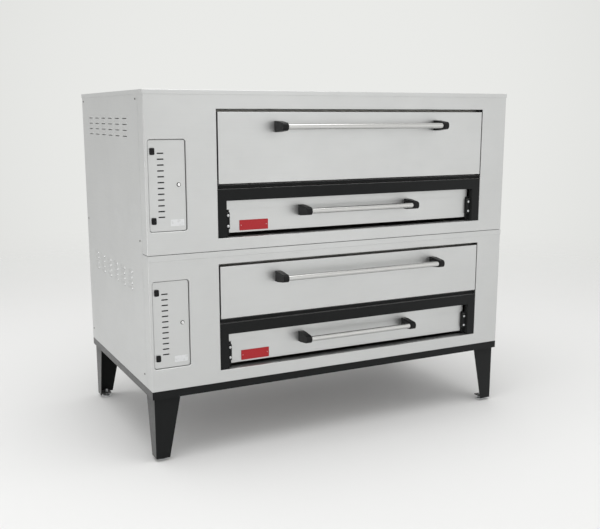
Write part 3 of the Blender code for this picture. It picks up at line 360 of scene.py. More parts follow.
class Finish:
    """A Principled material with a small set of procedural layers."""

    def __init__(self, name, colour, roughness, metallic=0.0):
        self.material = bpy.data.materials.new(name)
        self.material.use_nodes = True
        self.nodes = self.material.node_tree.nodes
        self.links = self.material.node_tree.links
        self.shader = self.nodes["Principled BSDF"]
        self.shader.inputs["Metallic"].default_value = metallic
        self.place = self.nodes.new("ShaderNodeTexCoord").outputs["Object"]
        self.colour = self.constant_colour(colour)
        self.roughness = self.constant(roughness)
        self.height = None

    def constant(self, value):
        node = self.nodes.new("ShaderNodeValue")
        node.outputs[0].default_value = value
        return node.outputs[0]

    def constant_colour(self, colour):
        node = self.nodes.new("ShaderNodeRGB")
        node.outputs[0].default_value = (*colour, 1.0)
        return node.outputs[0]

    def set(self, **values):
        """Sets plain sockets of the shader, with _ for a space."""
        for key, value in values.items():
            self.shader.inputs[key.replace("_", " ")].default_value = value
        return self

    def noise(self, scale, detail=4.0, stretch=(1.0, 1.0, 1.0), rough=0.5):
        """Noise from 0 to 1, stretched by so many times per axis."""
        mapping = self.nodes.new("ShaderNodeMapping")
        mapping.inputs["Scale"].default_value = stretch
        self.links.new(self.place, mapping.inputs["Vector"])
        texture = self.nodes.new("ShaderNodeTexNoise")
        texture.inputs["Scale"].default_value = scale
        texture.inputs["Detail"].default_value = detail
        texture.inputs["Roughness"].default_value = rough
        self.links.new(mapping.outputs["Vector"], texture.inputs["Vector"])
        return texture.outputs["Fac"]

    def cells(self, scale, feature="F1"):
        texture = self.nodes.new("ShaderNodeTexVoronoi")
        texture.inputs["Scale"].default_value = scale
        texture.feature = feature
        self.links.new(self.place, texture.inputs["Vector"])
        return texture.outputs["Distance"]

    def math(self, operation, first, second):
        node = self.nodes.new("ShaderNodeMath")
        node.operation = operation
        for socket, value in zip(node.inputs, (first, second)):
            if isinstance(value, (int, float)):
                socket.default_value = value
            else:
                self.links.new(value, socket)
        return node.outputs[0]

    def ramp(self, value, low, high, out_low=0.0, out_high=1.0):
        """Maps low..high to out_low..out_high, clamped."""
        return map_range(self.nodes, self.links, value, (low, high), (out_low, out_high))

    def mix(self, share, first, second):
        node = self.nodes.new("ShaderNodeMix")
        node.data_type = "RGBA"
        self.links.new(share, node.inputs["Factor"])
        for name, value in (("A", first), ("B", second)):
            socket = next(s for s in node.inputs if s.name == name and s.type == "RGBA")
            if isinstance(value, tuple):
                socket.default_value = (*value, 1.0)
            else:
                self.links.new(value, socket)
        return next(s for s in node.outputs if s.type == "RGBA")

    def stain(self, share, colour):
        """Shifts the colour towards another one where share is high."""
        self.colour = self.mix(share, self.colour, colour)
        return self

    def polish(self, value, low, high, rougher, smoother):
        """Adds a roughness between two amounts as value goes from low to high."""
        extra = self.ramp(value, low, high, rougher, smoother)
        self.roughness = self.math("ADD", self.roughness, extra)
        return self

    def relief(self, value, depth):
        """Adds a bump of that depth in metres."""
        raised = self.math("MULTIPLY", value, depth)
        self.height = raised if self.height is None else self.math("ADD", self.height, raised)
        return self

    def up(self):
        """1 on faces that look up or down, and 0 on upright ones."""
        geometry = self.nodes.new("ShaderNodeNewGeometry")
        split = self.nodes.new("ShaderNodeSeparateXYZ")
        self.links.new(geometry.outputs["Normal"], split.inputs[0])
        return self.ramp(self.math("ABSOLUTE", split.outputs["Z"], 0.0), 0.6, 0.8)

    def done(self):
        self.links.new(self.colour, self.shader.inputs["Base Color"])
        self.links.new(self.roughness, self.shader.inputs["Roughness"])
        if self.height is not None:
            bump = self.nodes.new("ShaderNodeBump")
            bump.inputs["Distance"].default_value = 1.0
            bump.inputs["Strength"].default_value = 1.0
            self.links.new(self.height, bump.inputs["Height"])
            self.links.new(bump.outputs["Normal"], self.shader.inputs["Normal"])
        return self.material


def brushed(name, colour, roughness, grain):
    """Satin sheet: fine level scratches, cloudy sheen, faint smudges."""
    finish = Finish(name, colour, roughness, 1.0)
    level = finish.noise(1.0, 3.0, (5.0, 5.0, 1400.0))
    flat = finish.noise(1.0, 3.0, (5.0, 1400.0, 5.0))
    up = finish.up()
    lines = finish.math(
        "ADD",
        finish.math("MULTIPLY", level, finish.math("SUBTRACT", 1.0, up)),
        finish.math("MULTIPLY", flat, up),
    )
    clouds = finish.noise(2.6, 3.0)
    smudges = finish.noise(9.0, 5.0, (1.0, 1.0, 1.6), 0.62)
    finish.polish(lines, 0.3, 0.7, -0.05, 0.05)
    finish.polish(smudges, 0.45, 0.75, 0.0, 0.06)
    dark = tuple(0.93 * part for part in colour)
    finish.stain(finish.ramp(clouds, 0.35, 0.7, 0.0, 0.6), dark)
    finish.stain(finish.ramp(lines, 0.62, 0.8, 0.0, 0.25), tuple(0.8 * part for part in colour))
    finish.relief(lines, grain)
    return finish


def make_finishes():
    made = {}
    made["stainless"] = brushed("stainless", (0.62, 0.627, 0.624), 0.42, 0.000012).done()

    chamber = brushed("chamber_steel", (0.42, 0.42, 0.43), 0.5, 0.00002)
    heat = chamber.noise(3.0, 5.0, (1.0, 1.0, 2.0), 0.6)
    chamber.stain(chamber.ramp(heat, 0.48, 0.7, 0.0, 0.7), (0.30, 0.22, 0.14))
    chamber.stain(chamber.ramp(chamber.noise(14.0, 6.0), 0.55, 0.8, 0.0, 0.5), (0.1, 0.09, 0.08))
    made["chamber_steel"] = chamber.done()

    enamel = Finish("black_enamel", (0.0065, 0.0072, 0.0075), 0.42)
    peel = enamel.noise(900.0, 2.0)
    enamel.relief(peel, 0.00003)
    enamel.polish(enamel.noise(40.0, 4.0), 0.35, 0.7, -0.04, 0.07)
    dust = enamel.ramp(enamel.noise(220.0, 6.0, rough=0.7), 0.62, 0.85, 0.0, 0.12)
    enamel.stain(dust, (0.12, 0.12, 0.115))
    enamel.set(Specular_IOR_Level=0.12, Sheen_Weight=0.42, Sheen_Roughness=0.4)
    made["black_enamel"] = enamel.done()

    tube = Finish("polished_tube", (0.57, 0.57, 0.56), 0.13, 1.0)
    rings = tube.noise(1.0, 2.0, (1500.0, 30.0, 30.0))
    tube.relief(rings, 0.000003)
    tube.polish(tube.noise(25.0, 5.0), 0.4, 0.75, 0.0, 0.09)
    made["polished_tube"] = tube.done()

    plastic = Finish("black_plastic", (0.0055, 0.0055, 0.006), 0.36)
    plastic.relief(plastic.noise(1500.0, 2.0), 0.00002)
    plastic.polish(plastic.noise(60.0, 4.0), 0.35, 0.7, -0.05, 0.08)
    plastic.stain(plastic.ramp(plastic.noise(300.0, 6.0), 0.65, 0.85, 0.0, 0.1), (0.1, 0.1, 0.1))
    plastic.set(Specular_IOR_Level=0.2)
    made["black_plastic"] = plastic.done()

    zinc = Finish("zinc", (0.72, 0.73, 0.74), 0.34, 1.0)
    spangle = zinc.cells(260.0)
    zinc.polish(spangle, 0.0, 0.8, -0.06, 0.1)
    zinc.stain(zinc.ramp(zinc.noise(70.0, 5.0), 0.5, 0.8, 0.0, 0.45), (0.36, 0.36, 0.35))
    zinc.relief(zinc.noise(500.0, 3.0), 0.00001)
    made["zinc"] = zinc.done()

    stone = Finish("stone", (0.55, 0.49, 0.40), 0.88)
    stone.stain(stone.ramp(stone.noise(5.0, 6.0, rough=0.65), 0.42, 0.7, 0.0, 0.75), (0.36, 0.28, 0.2))
    stone.stain(stone.ramp(stone.noise(2.2, 4.0), 0.55, 0.75, 0.0, 0.6), (0.22, 0.17, 0.13))
    stone.stain(stone.ramp(stone.cells(210.0), 0.0, 0.3, 0.5, 0.0), (0.3, 0.25, 0.2))
    stone.relief(stone.noise(320.0, 5.0), 0.0004)
    made["stone"] = stone.done()

    blanket = Finish("insulation", (0.85, 0.84, 0.78), 0.95)
    fibre = blanket.noise(180.0, 6.0, (1.0, 1.0, 5.0), 0.7)
    blanket.relief(fibre, 0.002)
    blanket.stain(blanket.ramp(fibre, 0.4, 0.7, 0.0, 0.5), (0.66, 0.63, 0.55))
    made["insulation"] = blanket.done()

    iron = Finish("gas_pipe", (0.075, 0.07, 0.066), 0.55, 0.7)
    iron.relief(iron.noise(420.0, 4.0), 0.00012)
    iron.polish(iron.noise(30.0, 5.0), 0.35, 0.7, -0.1, 0.15)
    iron.stain(iron.ramp(iron.noise(26.0, 6.0, rough=0.65), 0.58, 0.8, 0.0, 0.5), (0.16, 0.09, 0.05))
    made["gas_pipe"] = iron.done()

    spring = Finish("spring_steel", (0.3, 0.3, 0.32), 0.32, 1.0)
    spring.polish(spring.noise(90.0, 4.0), 0.35, 0.7, -0.05, 0.15)
    spring.stain(spring.ramp(spring.noise(120.0, 5.0), 0.55, 0.8, 0.0, 0.5), (0.14, 0.12, 0.1))
    spring.relief(spring.noise(700.0, 3.0), 0.00001)
    made["spring_steel"] = spring.done()

    chrome = Finish("chrome", (0.82, 0.82, 0.82), 0.1, 1.0)
    chrome.polish(chrome.noise(120.0, 4.0), 0.4, 0.75, 0.0, 0.1)
    chrome.relief(chrome.noise(900.0, 2.0), 0.000004)
    made["chrome"] = chrome.done()

    red = Finish("red_paint", (0.42, 0.016, 0.022), 0.34)
    red.polish(red.noise(80.0, 4.0), 0.35, 0.7, -0.05, 0.1)
    red.stain(red.ramp(red.noise(240.0, 5.0), 0.6, 0.85, 0.0, 0.25), (0.6, 0.12, 0.12))
    red.relief(red.noise(600.0, 2.0), 0.00001)
    red.set(Specular_IOR_Level=0.3)
    made["red_paint"] = red.done()
    return made


FINISHES = make_finishes()


# ---- Where things are ----------------------------------------------------------------


class Deck:
    """One deck's openings and planes, from its CAD nodes."""

    def __init__(self, name):
        self.name = name
        self.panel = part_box(f"{name}_front_panel")
        self.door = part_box(f"{name}_chamber_door")
        self.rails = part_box(f"{name}_door_frame")
        self.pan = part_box(f"{name}_burner_door")
        self.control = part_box(f"{name}_control_door")
        self.face = self.panel[0].y
        middle = (self.door[0].x + self.door[1].x) / 2
        half = (self.rails[1].x - self.rails[0].x) / 2 + EDGE
        self.middle = middle
        self.opening_low = (middle - half, self.rails[0].z - GAP)
        self.opening_high = (middle + half, self.door[1].z + DOOR_TOP_GAP)
        inset = CONTROL_GAP
        self.control_low = (self.control[0].x - inset, self.control[0].z - inset)
        self.control_high = (self.control[1].x + inset, self.control[1].z + inset)

    def node(self, name):
        return f"{self.name}_{name}"


decks = [Deck(name) for name in DECKS]
left_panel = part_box("left_side_panel")
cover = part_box("upper_top_panel")
FRONT_RETURN = left_panel[0].y - GAP


# ---- Small parts ---------------------------------------------------------------------


def screw(name, centre, direction, radius, rise):
    """A domed screw head with a cross recess, standing on a face."""
    centre = Vector(centre)
    direction = Vector(direction)
    profile = [(radius, -rise * 0.5), (radius, rise * 0.15)]
    for step in range(1, 6):
        angle = math.pi / 2 * step / 6
        profile.append(
            (radius * math.cos(angle) ** 0.8, rise * (0.15 + 0.85 * math.sin(angle)))
        )
    profile.append((radius * 0.12, rise))
    head = lathe(name, profile, centre, centre + direction, 28)
    turn = direction.to_track_quat("Z", "Y").to_matrix().to_4x4()
    slots = []
    for angle in (0.25, 0.25 + math.pi / 2):
        slot = block(
            "slot",
            (-radius * 0.5, -radius * 0.09, rise * 0.45),
            (radius * 0.5, radius * 0.09, rise * 1.5),
        )
        slot.data.transform(
            Matrix.Translation(centre) @ turn @ Matrix.Rotation(angle, 4, "Z")
        )
        slots.append(slot)
    return shade(cut(head, *slots), 35)


def screws(name, spots, direction, radius, rise, body, slot="zinc"):
    """One piece that holds several screw heads."""
    heads = [screw(name, spot, direction, radius, rise) for spot in spots]
    return put(merged(heads), body, slot)


# ---- Sheet-metal pieces --------------------------------------------------------------


def front_panel(deck):
    """The front: folded returns, and both openings with rolled, flanged edges."""
    low, high = deck.panel
    y = deck.face
    back = FRONT_RETURN
    thin = SHEET
    outline = fillet(
        [
            (low.x, back, 0.0),
            (low.x, y, FOLD),
            (high.x, y, FOLD),
            (high.x, back, 0.0),
            (high.x - thin, back, 0.0),
            (high.x - thin, y + thin, FOLD - thin),
            (low.x + thin, y + thin, FOLD - thin),
            (low.x + thin, back, 0.0),
        ]
    )
    bottom = low.z + (SEAM_GAP if deck.name == "upper" else 0.0)
    panel = prism(deck.node("front_sheet"), outline, "Z", bottom, high.z)
    start = y + thin / 2
    opening = flange(deck.opening_low, deck.opening_high, 0.0, start, y + JAMB_DEPTH)
    control = flange(deck.control_low, deck.control_high, CONTROL_RADIUS, start, y + CONTROL_JAMB)
    join(panel, opening[0], control[0])
    cut(panel, opening[1], control[1])

    def rolled(middle, along):
        if middle.y > y + 0.00005 or abs(along.y) > 0.0001:
            return False
        return abs(middle.x - low.x) > 2 * FOLD and abs(middle.x - high.x) > 2 * FOLD and (
            low.z + 2 * FOLD < middle.z < high.z - 2 * FOLD
        )

    round_edges(panel, ROLL, rolled, 5)
    return put(soften(panel), "body", "stainless", deck.node("front_panel"))


def flange(low, high, radius, start, end):
    """The outside and the inside of a flange round an opening."""
    grown = (low[0] - SHEET, low[1] - SHEET), (high[0] + SHEET, high[1] + SHEET)
    outside = prism("outside", rectangle(*grown, radius + SHEET if radius else 0.0), "Y", start, end)
    inside = prism("inside", rectangle(low, high, radius), "Y", start - OVERRUN, end + OVERRUN)
    return outside, inside


def door_gap_shade(deck):
    """Black lining on the jambs round the chamber door: painted shade that keeps the gap round the door
    dark.
    """
    thick = 0.0008
    low = (deck.opening_low[0] + GAP, deck.door[0].z - 0.004)
    high = (deck.opening_high[0] - GAP, deck.opening_high[1] - GAP)
    front = deck.face + ROLL + 0.001
    ring = prism(deck.node("door_gap_shade"), rectangle(low, high), "Y", front, deck.face + JAMB_DEPTH)
    inside = block(
        "inside",
        (low[0] + thick, front - OVERRUN, low[1] - OVERRUN),
        (high[0] - thick, deck.face + 2 * JAMB_DEPTH, high[1] - thick),
    )
    return put(soften(cut(ring, inside), 0.0002), "body", "black_enamel")


def chamber_door(deck):
    """A folded door with a bored lower corner and a cross-broken inner skin."""
    low, high = deck.door
    skin = 0.0016
    back = high.y - skin
    outline = fillet(
        [(low.y, low.z, FOLD), (low.y, high.z, FOLD), (back, high.z, 0.002), (back, low.z, 0.002)]
    )
    door = prism(deck.node("door_box"), outline, "X", low.x, high.x)
    axis_y = low.y + HINGE_INSET
    axis_z = low.z + HINGE_INSET
    bore = rod("bore", (low.x - OVERRUN, axis_y, axis_z), (high.x + OVERRUN, axis_y, axis_z), 0.0083)
    cut(door, bore)
    put(soften(door, 0.0012, 3), deck.node("chamber_door"), "stainless", deck.node("chamber_door"))

    inset = 0.014
    shape = bmesh.new()
    corners = rectangle((low.x + inset, low.z + inset + 0.02), (high.x - inset, high.z - inset))
    base = [shape.verts.new((x, back - 0.0006, z)) for x, z in corners]
    rim = [shape.verts.new((x, back + 0.0006, z)) for x, z in corners]
    centre_x = (low.x + high.x) / 2
    centre_z = (low.z + high.z + 0.02) / 2
    ridge = [
        shape.verts.new((centre_x - 0.35, high.y, centre_z)),
        shape.verts.new((centre_x + 0.35, high.y, centre_z)),
    ]
    shape.faces.new(base)
    for index in range(4):
        after = (index + 1) % 4
        shape.faces.new((base[index], base[after], rim[after], rim[index]))
    shape.faces.new((rim[0], rim[1], ridge[1], ridge[0]))
    shape.faces.new((rim[1], rim[2], ridge[1]))
    shape.faces.new((rim[2], rim[3], ridge[0], ridge[1]))
    shape.faces.new((rim[3], rim[0], ridge[0]))
    inner = new_object(deck.node("door_inner_skin"), shape)
    put(soften(inner, 0.0003, 2, 60), deck.node("chamber_door"), "chamber_steel")
    spots = []
    for step in range(8):
        x = low.x + 0.022 + (high.x - low.x - 0.044) * step / 7
        spots.append((x, back + 0.0006, high.z - 0.021))
        spots.append((x, back + 0.0006, low.z + 0.041))
    screws(deck.node("door_skin_screws"), spots, (0, 1, 0), 0.0035, 0.0012, deck.node("chamber_door"))


def door_shaft(deck):
    """The hinge shaft, its crank arm with a rounded end, and the arm's pin."""
    low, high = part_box(deck.node("door_shaft"))
    y = deck.door[0].y + HINGE_INSET
    z = deck.door[0].z + HINGE_INSET
    shaft = rod(deck.node("shaft"), (low.x, y, z), (high.x, y, z), SHAFT_RADIUS)
    reach = CRANK_REACH
    arm_outline = []
    along = Vector((1.0, -1.0)).normalized()
    across = Vector((1.0, 1.0)).normalized()
    crank = Vector((y + reach, z - reach))
    for centre, first, size in ((Vector((y, z)), 90, 0.009), (crank, -90, 0.008)):
        for step in range(13):
            angle = math.radians(first + 180 * step / 12)
            spot = centre + size * (along * math.cos(angle) + across * math.sin(angle))
            arm_outline.append(tuple(spot))
    arm_left = low.x if low.x > -0.79 else -0.784
    arm = prism("arm", arm_outline, "X", arm_left, arm_left + 0.008)
    pin = rod("pin", (low.x, y + reach, z - reach), (arm_left + 0.004, y + reach, z - reach), 0.004)
    cut(shaft, block("clear", (low.x - OVERRUN, y - 0.05, z - 0.05), (arm_left, y + 0.05, z + 0.05)))
    join(shaft, arm, pin)
    put(soften(shaft), deck.node("chamber_door"), "gas_pipe", deck.node("door_shaft"))


def burner_door(deck):
    """A shallow pan with two ears at the top and a pin at each end."""
    low, high = deck.pan
    ear = BURNER_EAR_HALF
    half = BURNER_DOOR_HALF
    ear_low = deck.rails[0].z - GAP - BURNER_FLOOR_DROP + 0.188
    mid = deck.middle
    small = 0.003
    outline = fillet(
        [
            (mid - half, low.z, small),
            (mid + half, low.z, small),
            (mid + half, ear_low, 0.0),
            (mid + ear, ear_low, 0.001),
            (mid + ear, high.z, small),
            (mid - ear, high.z, small),
            (mid - ear, ear_low, 0.001),
            (mid - half, ear_low, 0.0),
        ],
        4,
    )
    pan = prism(deck.node("burner_pan"), outline, "Y", low.y, high.y)
    inner = half - SHEET
    hollow = block(
        "hollow",
        (mid - inner, low.y + SHEET, low.z + SHEET),
        (mid + inner, high.y + OVERRUN, high.z - SHEET),
    )
    cut(pan, hollow)
    round_edges(pan, 0.0016, lambda middle, along: middle.y < low.y + 0.00005, 4)
    axis = Vector((mid, (low.y + high.y) / 2, low.z + (high.y - low.y) / 2))
    pins = []
    for _, side in SIDES:
        start = axis + Vector((side * (half - 0.004), 0, 0))
        pins.append(rod("pin", start, axis + Vector((side * 0.712, 0, 0)), 0.004, 24))
    join(pan, *pins)
    put(soften(pan, 0.0004), deck.node("burner_door"), "stainless", deck.node("burner_door"))


def badge(deck):
    """A plain enamelled plate with a raised rim and two rivets."""
    low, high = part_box(deck.node("badge"))
    outline = rectangle((low.x, low.z), (high.x, high.z), 0.0025)
    plate = prism(deck.node("badge_plate"), outline, "Y", low.y, high.y)
    inset = 0.0022
    window = prism(
        "window",
        rectangle((low.x + inset, low.z + inset), (high.x - inset, high.z - inset), 0.0015),
        "Y",
        low.y - OVERRUN,
        low.y + 0.0004,
    )
    cut(plate, window)
    put(soften(plate, 0.0002), deck.node("burner_door"), "red_paint", deck.node("badge"))
    middle = (low.z + high.z) / 2
    spots = [(low.x + 0.009, low.y + 0.0004, middle), (high.x - 0.009, low.y + 0.0004, middle)]
    screws(deck.node("badge_rivets"), spots, (0, -1, 0), 0.0018, 0.0007, deck.node("burner_door"))


def door_frame(deck):
    """Sill, top rail and side rails of folded black sheet, with pivot brackets."""
    low, high = deck.rails
    front = low.y
    back = front + FRAME_DEPTH
    bottom = deck.opening_low[1] - BURNER_FLOOR_DROP
    rail_low = bottom + RAIL_BOTTOM
    groove = bottom + RAIL_TOP
    inner = FRAME_OPENING_HALF
    mid = deck.middle

    def bar(name, x0, z0, x1, z1, face):
        solid = block(name, (x0, face, z0), (x1, back, z1))
        inside = block(
            "inside", (x0 + SHEET, face + SHEET, z0 + SHEET), (x1 - SHEET, back + OVERRUN, z1 - SHEET)
        )
        return cut(solid, inside)

    sill_low = groove + SILL_GROOVE
    sill = bar(deck.node("door_sill"), low.x, sill_low, high.x, high.z, front + SILL_SETBACK)
    shelf = block(
        "shelf", (low.x, back - SHEET, high.z - SHEET), (high.x, high.y, high.z)
    )
    join(sill, shelf)
    put(soften(sill, 0.0004, 3), "body", "black_enamel")
    rail = bar(deck.node("burner_rails"), low.x, rail_low, high.x, groove, front)
    legs = [
        bar("leg", low.x, low.z, mid - inner, rail_low + SHEET, front),
        bar("leg", mid + inner, low.z, high.x, rail_low + SHEET, front),
    ]
    join(rail, *legs)
    put(soften(rail, 0.0004, 3), "body", "black_enamel", deck.node("door_frame"))
    pivot_brackets(deck, front, back, bottom)


def pivot_brackets(deck, front, back, bottom):
    """A plate, an ear and a raised boss at each end of the burner door, and their screws."""
    mid = deck.middle
    spots = []
    plates = []
    face = back - SHEET + GAP
    for _, side in SIDES:
        xs = span(mid, side, BRACKET_INNER, BRACKET_OUTER)
        plate = prism(
            "plate",
            rectangle((xs[0], bottom + 0.066), (xs[1], bottom + 0.186), 0.003),
            "Y",
            face,
            face + 0.004,
        )
        ear_xs = span(mid, side, BRACKET_INNER, 0.703)
        ear = block(
            "ear",
            (ear_xs[0], face + SHEET / 2, bottom + 0.072),
            (ear_xs[1], deck.pan[1].y + 0.004, bottom + 0.106),
        )
        axis = Vector((mid, (deck.pan[0].y + deck.pan[1].y) / 2, deck.pan[0].z + 0.010))
        hole_ends = [axis + Vector((side * reach, 0, 0)) for reach in (0.69, 0.71)]
        hole = rod("hole", *hole_ends, 0.0043, 24)
        boss_xs = span(mid, side, 0.6995, 0.7195)
        boss = block(
            "boss",
            (boss_xs[0], front + BOSS_DEPTH, bottom + 0.098),
            (boss_xs[1], face + SHEET / 2, bottom + 0.178),
        )
        plates.append(cut(join(plate, ear, boss), hole))
        for height in BRACKET_SCREW_HEIGHTS:
            spots.append((mid + side * BRACKET_SCREW, front + BOSS_DEPTH, bottom + height))
    brackets = merged(plates)
    brackets.name = deck.node("pivot_brackets")
    put(soften(brackets, 0.0006), "body", "black_enamel")
    screws(deck.node("bracket_screws"), spots, (0, -1, 0), 0.0068, 0.0035, "body")


def control_door(deck):
    """The slotted door with its folded edge, hinge blocks and a blank label."""
    low, high = deck.control
    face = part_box(deck.node("control_door_latch"))[0].y + CONTROL_LATCH_RISE
    outline = rectangle((low.x, low.z), (high.x, high.z), CONTROL_RADIUS - CONTROL_GAP)
    door = prism(deck.node("control_sheet"), outline, "Y", face, high.y)
    wall = SHEET
    hollow = rectangle(
        (low.x + wall, low.z + wall), (high.x - wall, high.z - wall), CONTROL_RADIUS - CONTROL_GAP - wall
    )
    cut(door, prism("hollow", hollow, "Y", face + wall, high.y + OVERRUN))
    round_edges(door, 0.0012, lambda middle, along: middle.y < face + 0.00005, 4)
    slots = []
    left = low.x + 0.0414
    for index in range(12):
        z = low.z + 0.0647 + 0.0261 * index
        slots.append(
            prism(
                "slot",
                rectangle((left, z - 0.003), (left + 0.0315, z + 0.003), 0.0029, 5),
                "Y",
                face - OVERRUN,
                face + OVERRUN / 2,
            )
        )
    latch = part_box(deck.node("control_door_latch"))
    x = (latch[0].x + latch[1].x) / 2
    z = latch[1].z - LATCH_AXIS_DROP
    bore = rod("bore", (x, face - OVERRUN, z), (x, face + OVERRUN / 2, z), 0.0063)
    cut(door, merged(slots), bore)
    body = deck.node("control_door")
    put(soften(door, 0.0003), body, "stainless", body)
    blocks = []
    for height in (0.0483, 0.3606):
        corner_low = (low.x + 0.0085, low.z + height - 0.0155)
        corner_high = (low.x + 0.0305, low.z + height + 0.0155)
        outline = rectangle(corner_low, corner_high, 0.005)
        blocks.append(prism(deck.node("hinge_blocks"), outline, "Y", low.y, face + 0.0005))
    hinge = merged(blocks)
    put(soften(hinge, 0.0015, 3), body, "black_plastic")
    # A thin black sheet just behind the slots: painted shade, so the slots read dark.
    shade_sheet = block(
        deck.node("slot_shade_sheet"),
        (left - 0.006, face + wall + 0.0005, low.z + 0.055),
        (left + 0.035, face + wall + 0.0015, low.z + 0.362),
    )
    put(shade_sheet, body, "black_plastic")
    # A black ring round the cam lock: painted shade round the lock's head.
    washer = lathe(
        deck.node("lock_shade_ring"),
        [(0.0063, 0.0), (0.0094, 0.0), (0.0098, 0.0008), (0.0063, 0.0008)],
        (x, face + 0.0001, z),
        (x, face - 0.01, z),
        36,
        True,
    )
    put(shade(washer, 30), body, "black_plastic")
    label = prism(
        deck.node("blank_label"),
        rectangle((high.x - 0.075, low.z + 0.022), (high.x - 0.010, low.z + 0.052), 0.002),
        "Y",
        face - 0.0003,
        face + 0.0005,
    )
    put(soften(label, 0.0001), body, "zinc")


def latch(deck):
    """A cam lock with a keyway, barrel and cam."""
    low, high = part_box(deck.node("control_door_latch"))
    x = (low.x + high.x) / 2
    z = high.z - LATCH_AXIS_DROP
    rise = CONTROL_LATCH_RISE
    profile = [
        (0.0062, rise),
        (0.0075, rise - GAP),
        (0.0075, 0.0022),
        (0.0070, 0.0009),
        (0.0058, 0.0),
        (0.0052, 0.0008),
        (0.0004, 0.0008),
    ]
    head = lathe(deck.node("cam_lock"), profile, (x, low.y, z), (x, high.y, z), 40)
    keyway = block(
        "keyway", (x - 0.0006, low.y - OVERRUN, z - 0.0032), (x + 0.0006, low.y + 0.003, z + 0.0032)
    )
    cut(head, keyway)
    barrel = rod("barrel", (x, low.y + rise - 0.0005, z), (x, high.y - 0.001, z), 0.006)
    cam = prism(
        "cam",
        rectangle((x - 0.006, low.z), (x + 0.006, z + 0.006), 0.005),
        "Y",
        high.y - 0.0025,
        high.y,
    )
    join(head, barrel, cam)
    put(soften(head, 0.0002), deck.node("latch"), "chrome", deck.node("control_door_latch"))


def hood(reach, length, height, wall):
    """One pressed louvre on a sheet at X 0, its lip at Z 0, opening downwards."""
    across = 20
    down = 8
    shape = bmesh.new()
    layers = []
    for inset in (0.0, wall):
        rows = []
        for row in range(down + 1):
            share = row / down
            bulge = math.sin(share * math.pi / 2) ** 1.15
            line = []
            for column in range(across + 1):
                place_y = length * (column / across - 0.5)
                end = min(1.0, (length / 2 - abs(place_y)) / (0.11 * length))
                lift = reach * bulge * math.sin(end * math.pi / 2)
                line.append(shape.verts.new((lift - inset, place_y, height * (1 - share))))
            rows.append(line)
        layers.append(rows)
    for rows in layers:
        for upper, lower in zip(rows, rows[1:]):
            for column in range(across):
                shape.faces.new((upper[column], upper[column + 1], lower[column + 1], lower[column]))
    outer, inner = layers
    for row_out, row_in in ((outer[0], inner[0]), (outer[-1], inner[-1])):
        for column in range(across):
            shape.faces.new((row_out[column], row_out[column + 1], row_in[column + 1], row_in[column]))
    for column in (0, across):
        for row in range(down):
            shape.faces.new(
                (outer[row][column], outer[row + 1][column], inner[row + 1][column], inner[row][column])
            )
    return new_object("hood", shape)


def side_panel(name, side):
    """One tall sheet with louvres pressed out of it, and its fixing screws."""
    low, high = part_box(f"{name}_side_panel")
    outer = max(abs(low.x), abs(high.x)) - 0.0045
    sheet_x = sorted((side * outer, side * (outer - SHEET)))
    panel = prism(
        f"{name}_side_sheet",
        rectangle((low.y + SIDE_SEAM, low.z), (high.y, high.z)),
        "X",
        sheet_x[0],
        sheet_x[1],
    )
    slots = []
    hoods = []
    length = 0.078
    height = 0.013
    for group in (0.443, 1.175):
        for row in range(4):
            z = low.z - GAP + group + row * 0.0274
            for column in range(6):
                y = low.y - GAP - BODY_BACK_OFFSET + 0.300 + column * 0.1296
                reach = length / 2 - 0.004
                outline = rectangle((y - reach, z - 0.0035), (y + reach, z + 0.008), 0.002, 3)
                ends = (side * (outer - OVERRUN), side * (outer + OVERRUN))
                slots.append(prism("slot", outline, "X", *ends))
                pressed = hood(0.0045, length, height, 0.0012)
                mirror = Matrix.Scale(side, 4, (1, 0, 0))
                pressed.data.transform(Matrix.Translation((side * outer, y, z)) @ mirror)
                if side < 0:
                    pressed.data.flip_normals()
                hoods.append(pressed)
    cut(panel, merged(slots))
    put(soften(panel, 0.0003), "body", "stainless", f"{name}_side_panel")
    pressings = merged(hoods)
    pressings.name = f"{name}_louvres"
    put(shade(pressings, 60), "body", "stainless")
    spots = []
    for z in (0.060, 0.700, 1.342):
        for y in (0.113, 1.105):
            spots.append((side * outer, low.y - GAP - BODY_BACK_OFFSET + y, low.z + z))
    screws(f"{name}_panel_screws", spots, (side, 0, 0), 0.0045, 0.0022, "body", "gas_pipe")


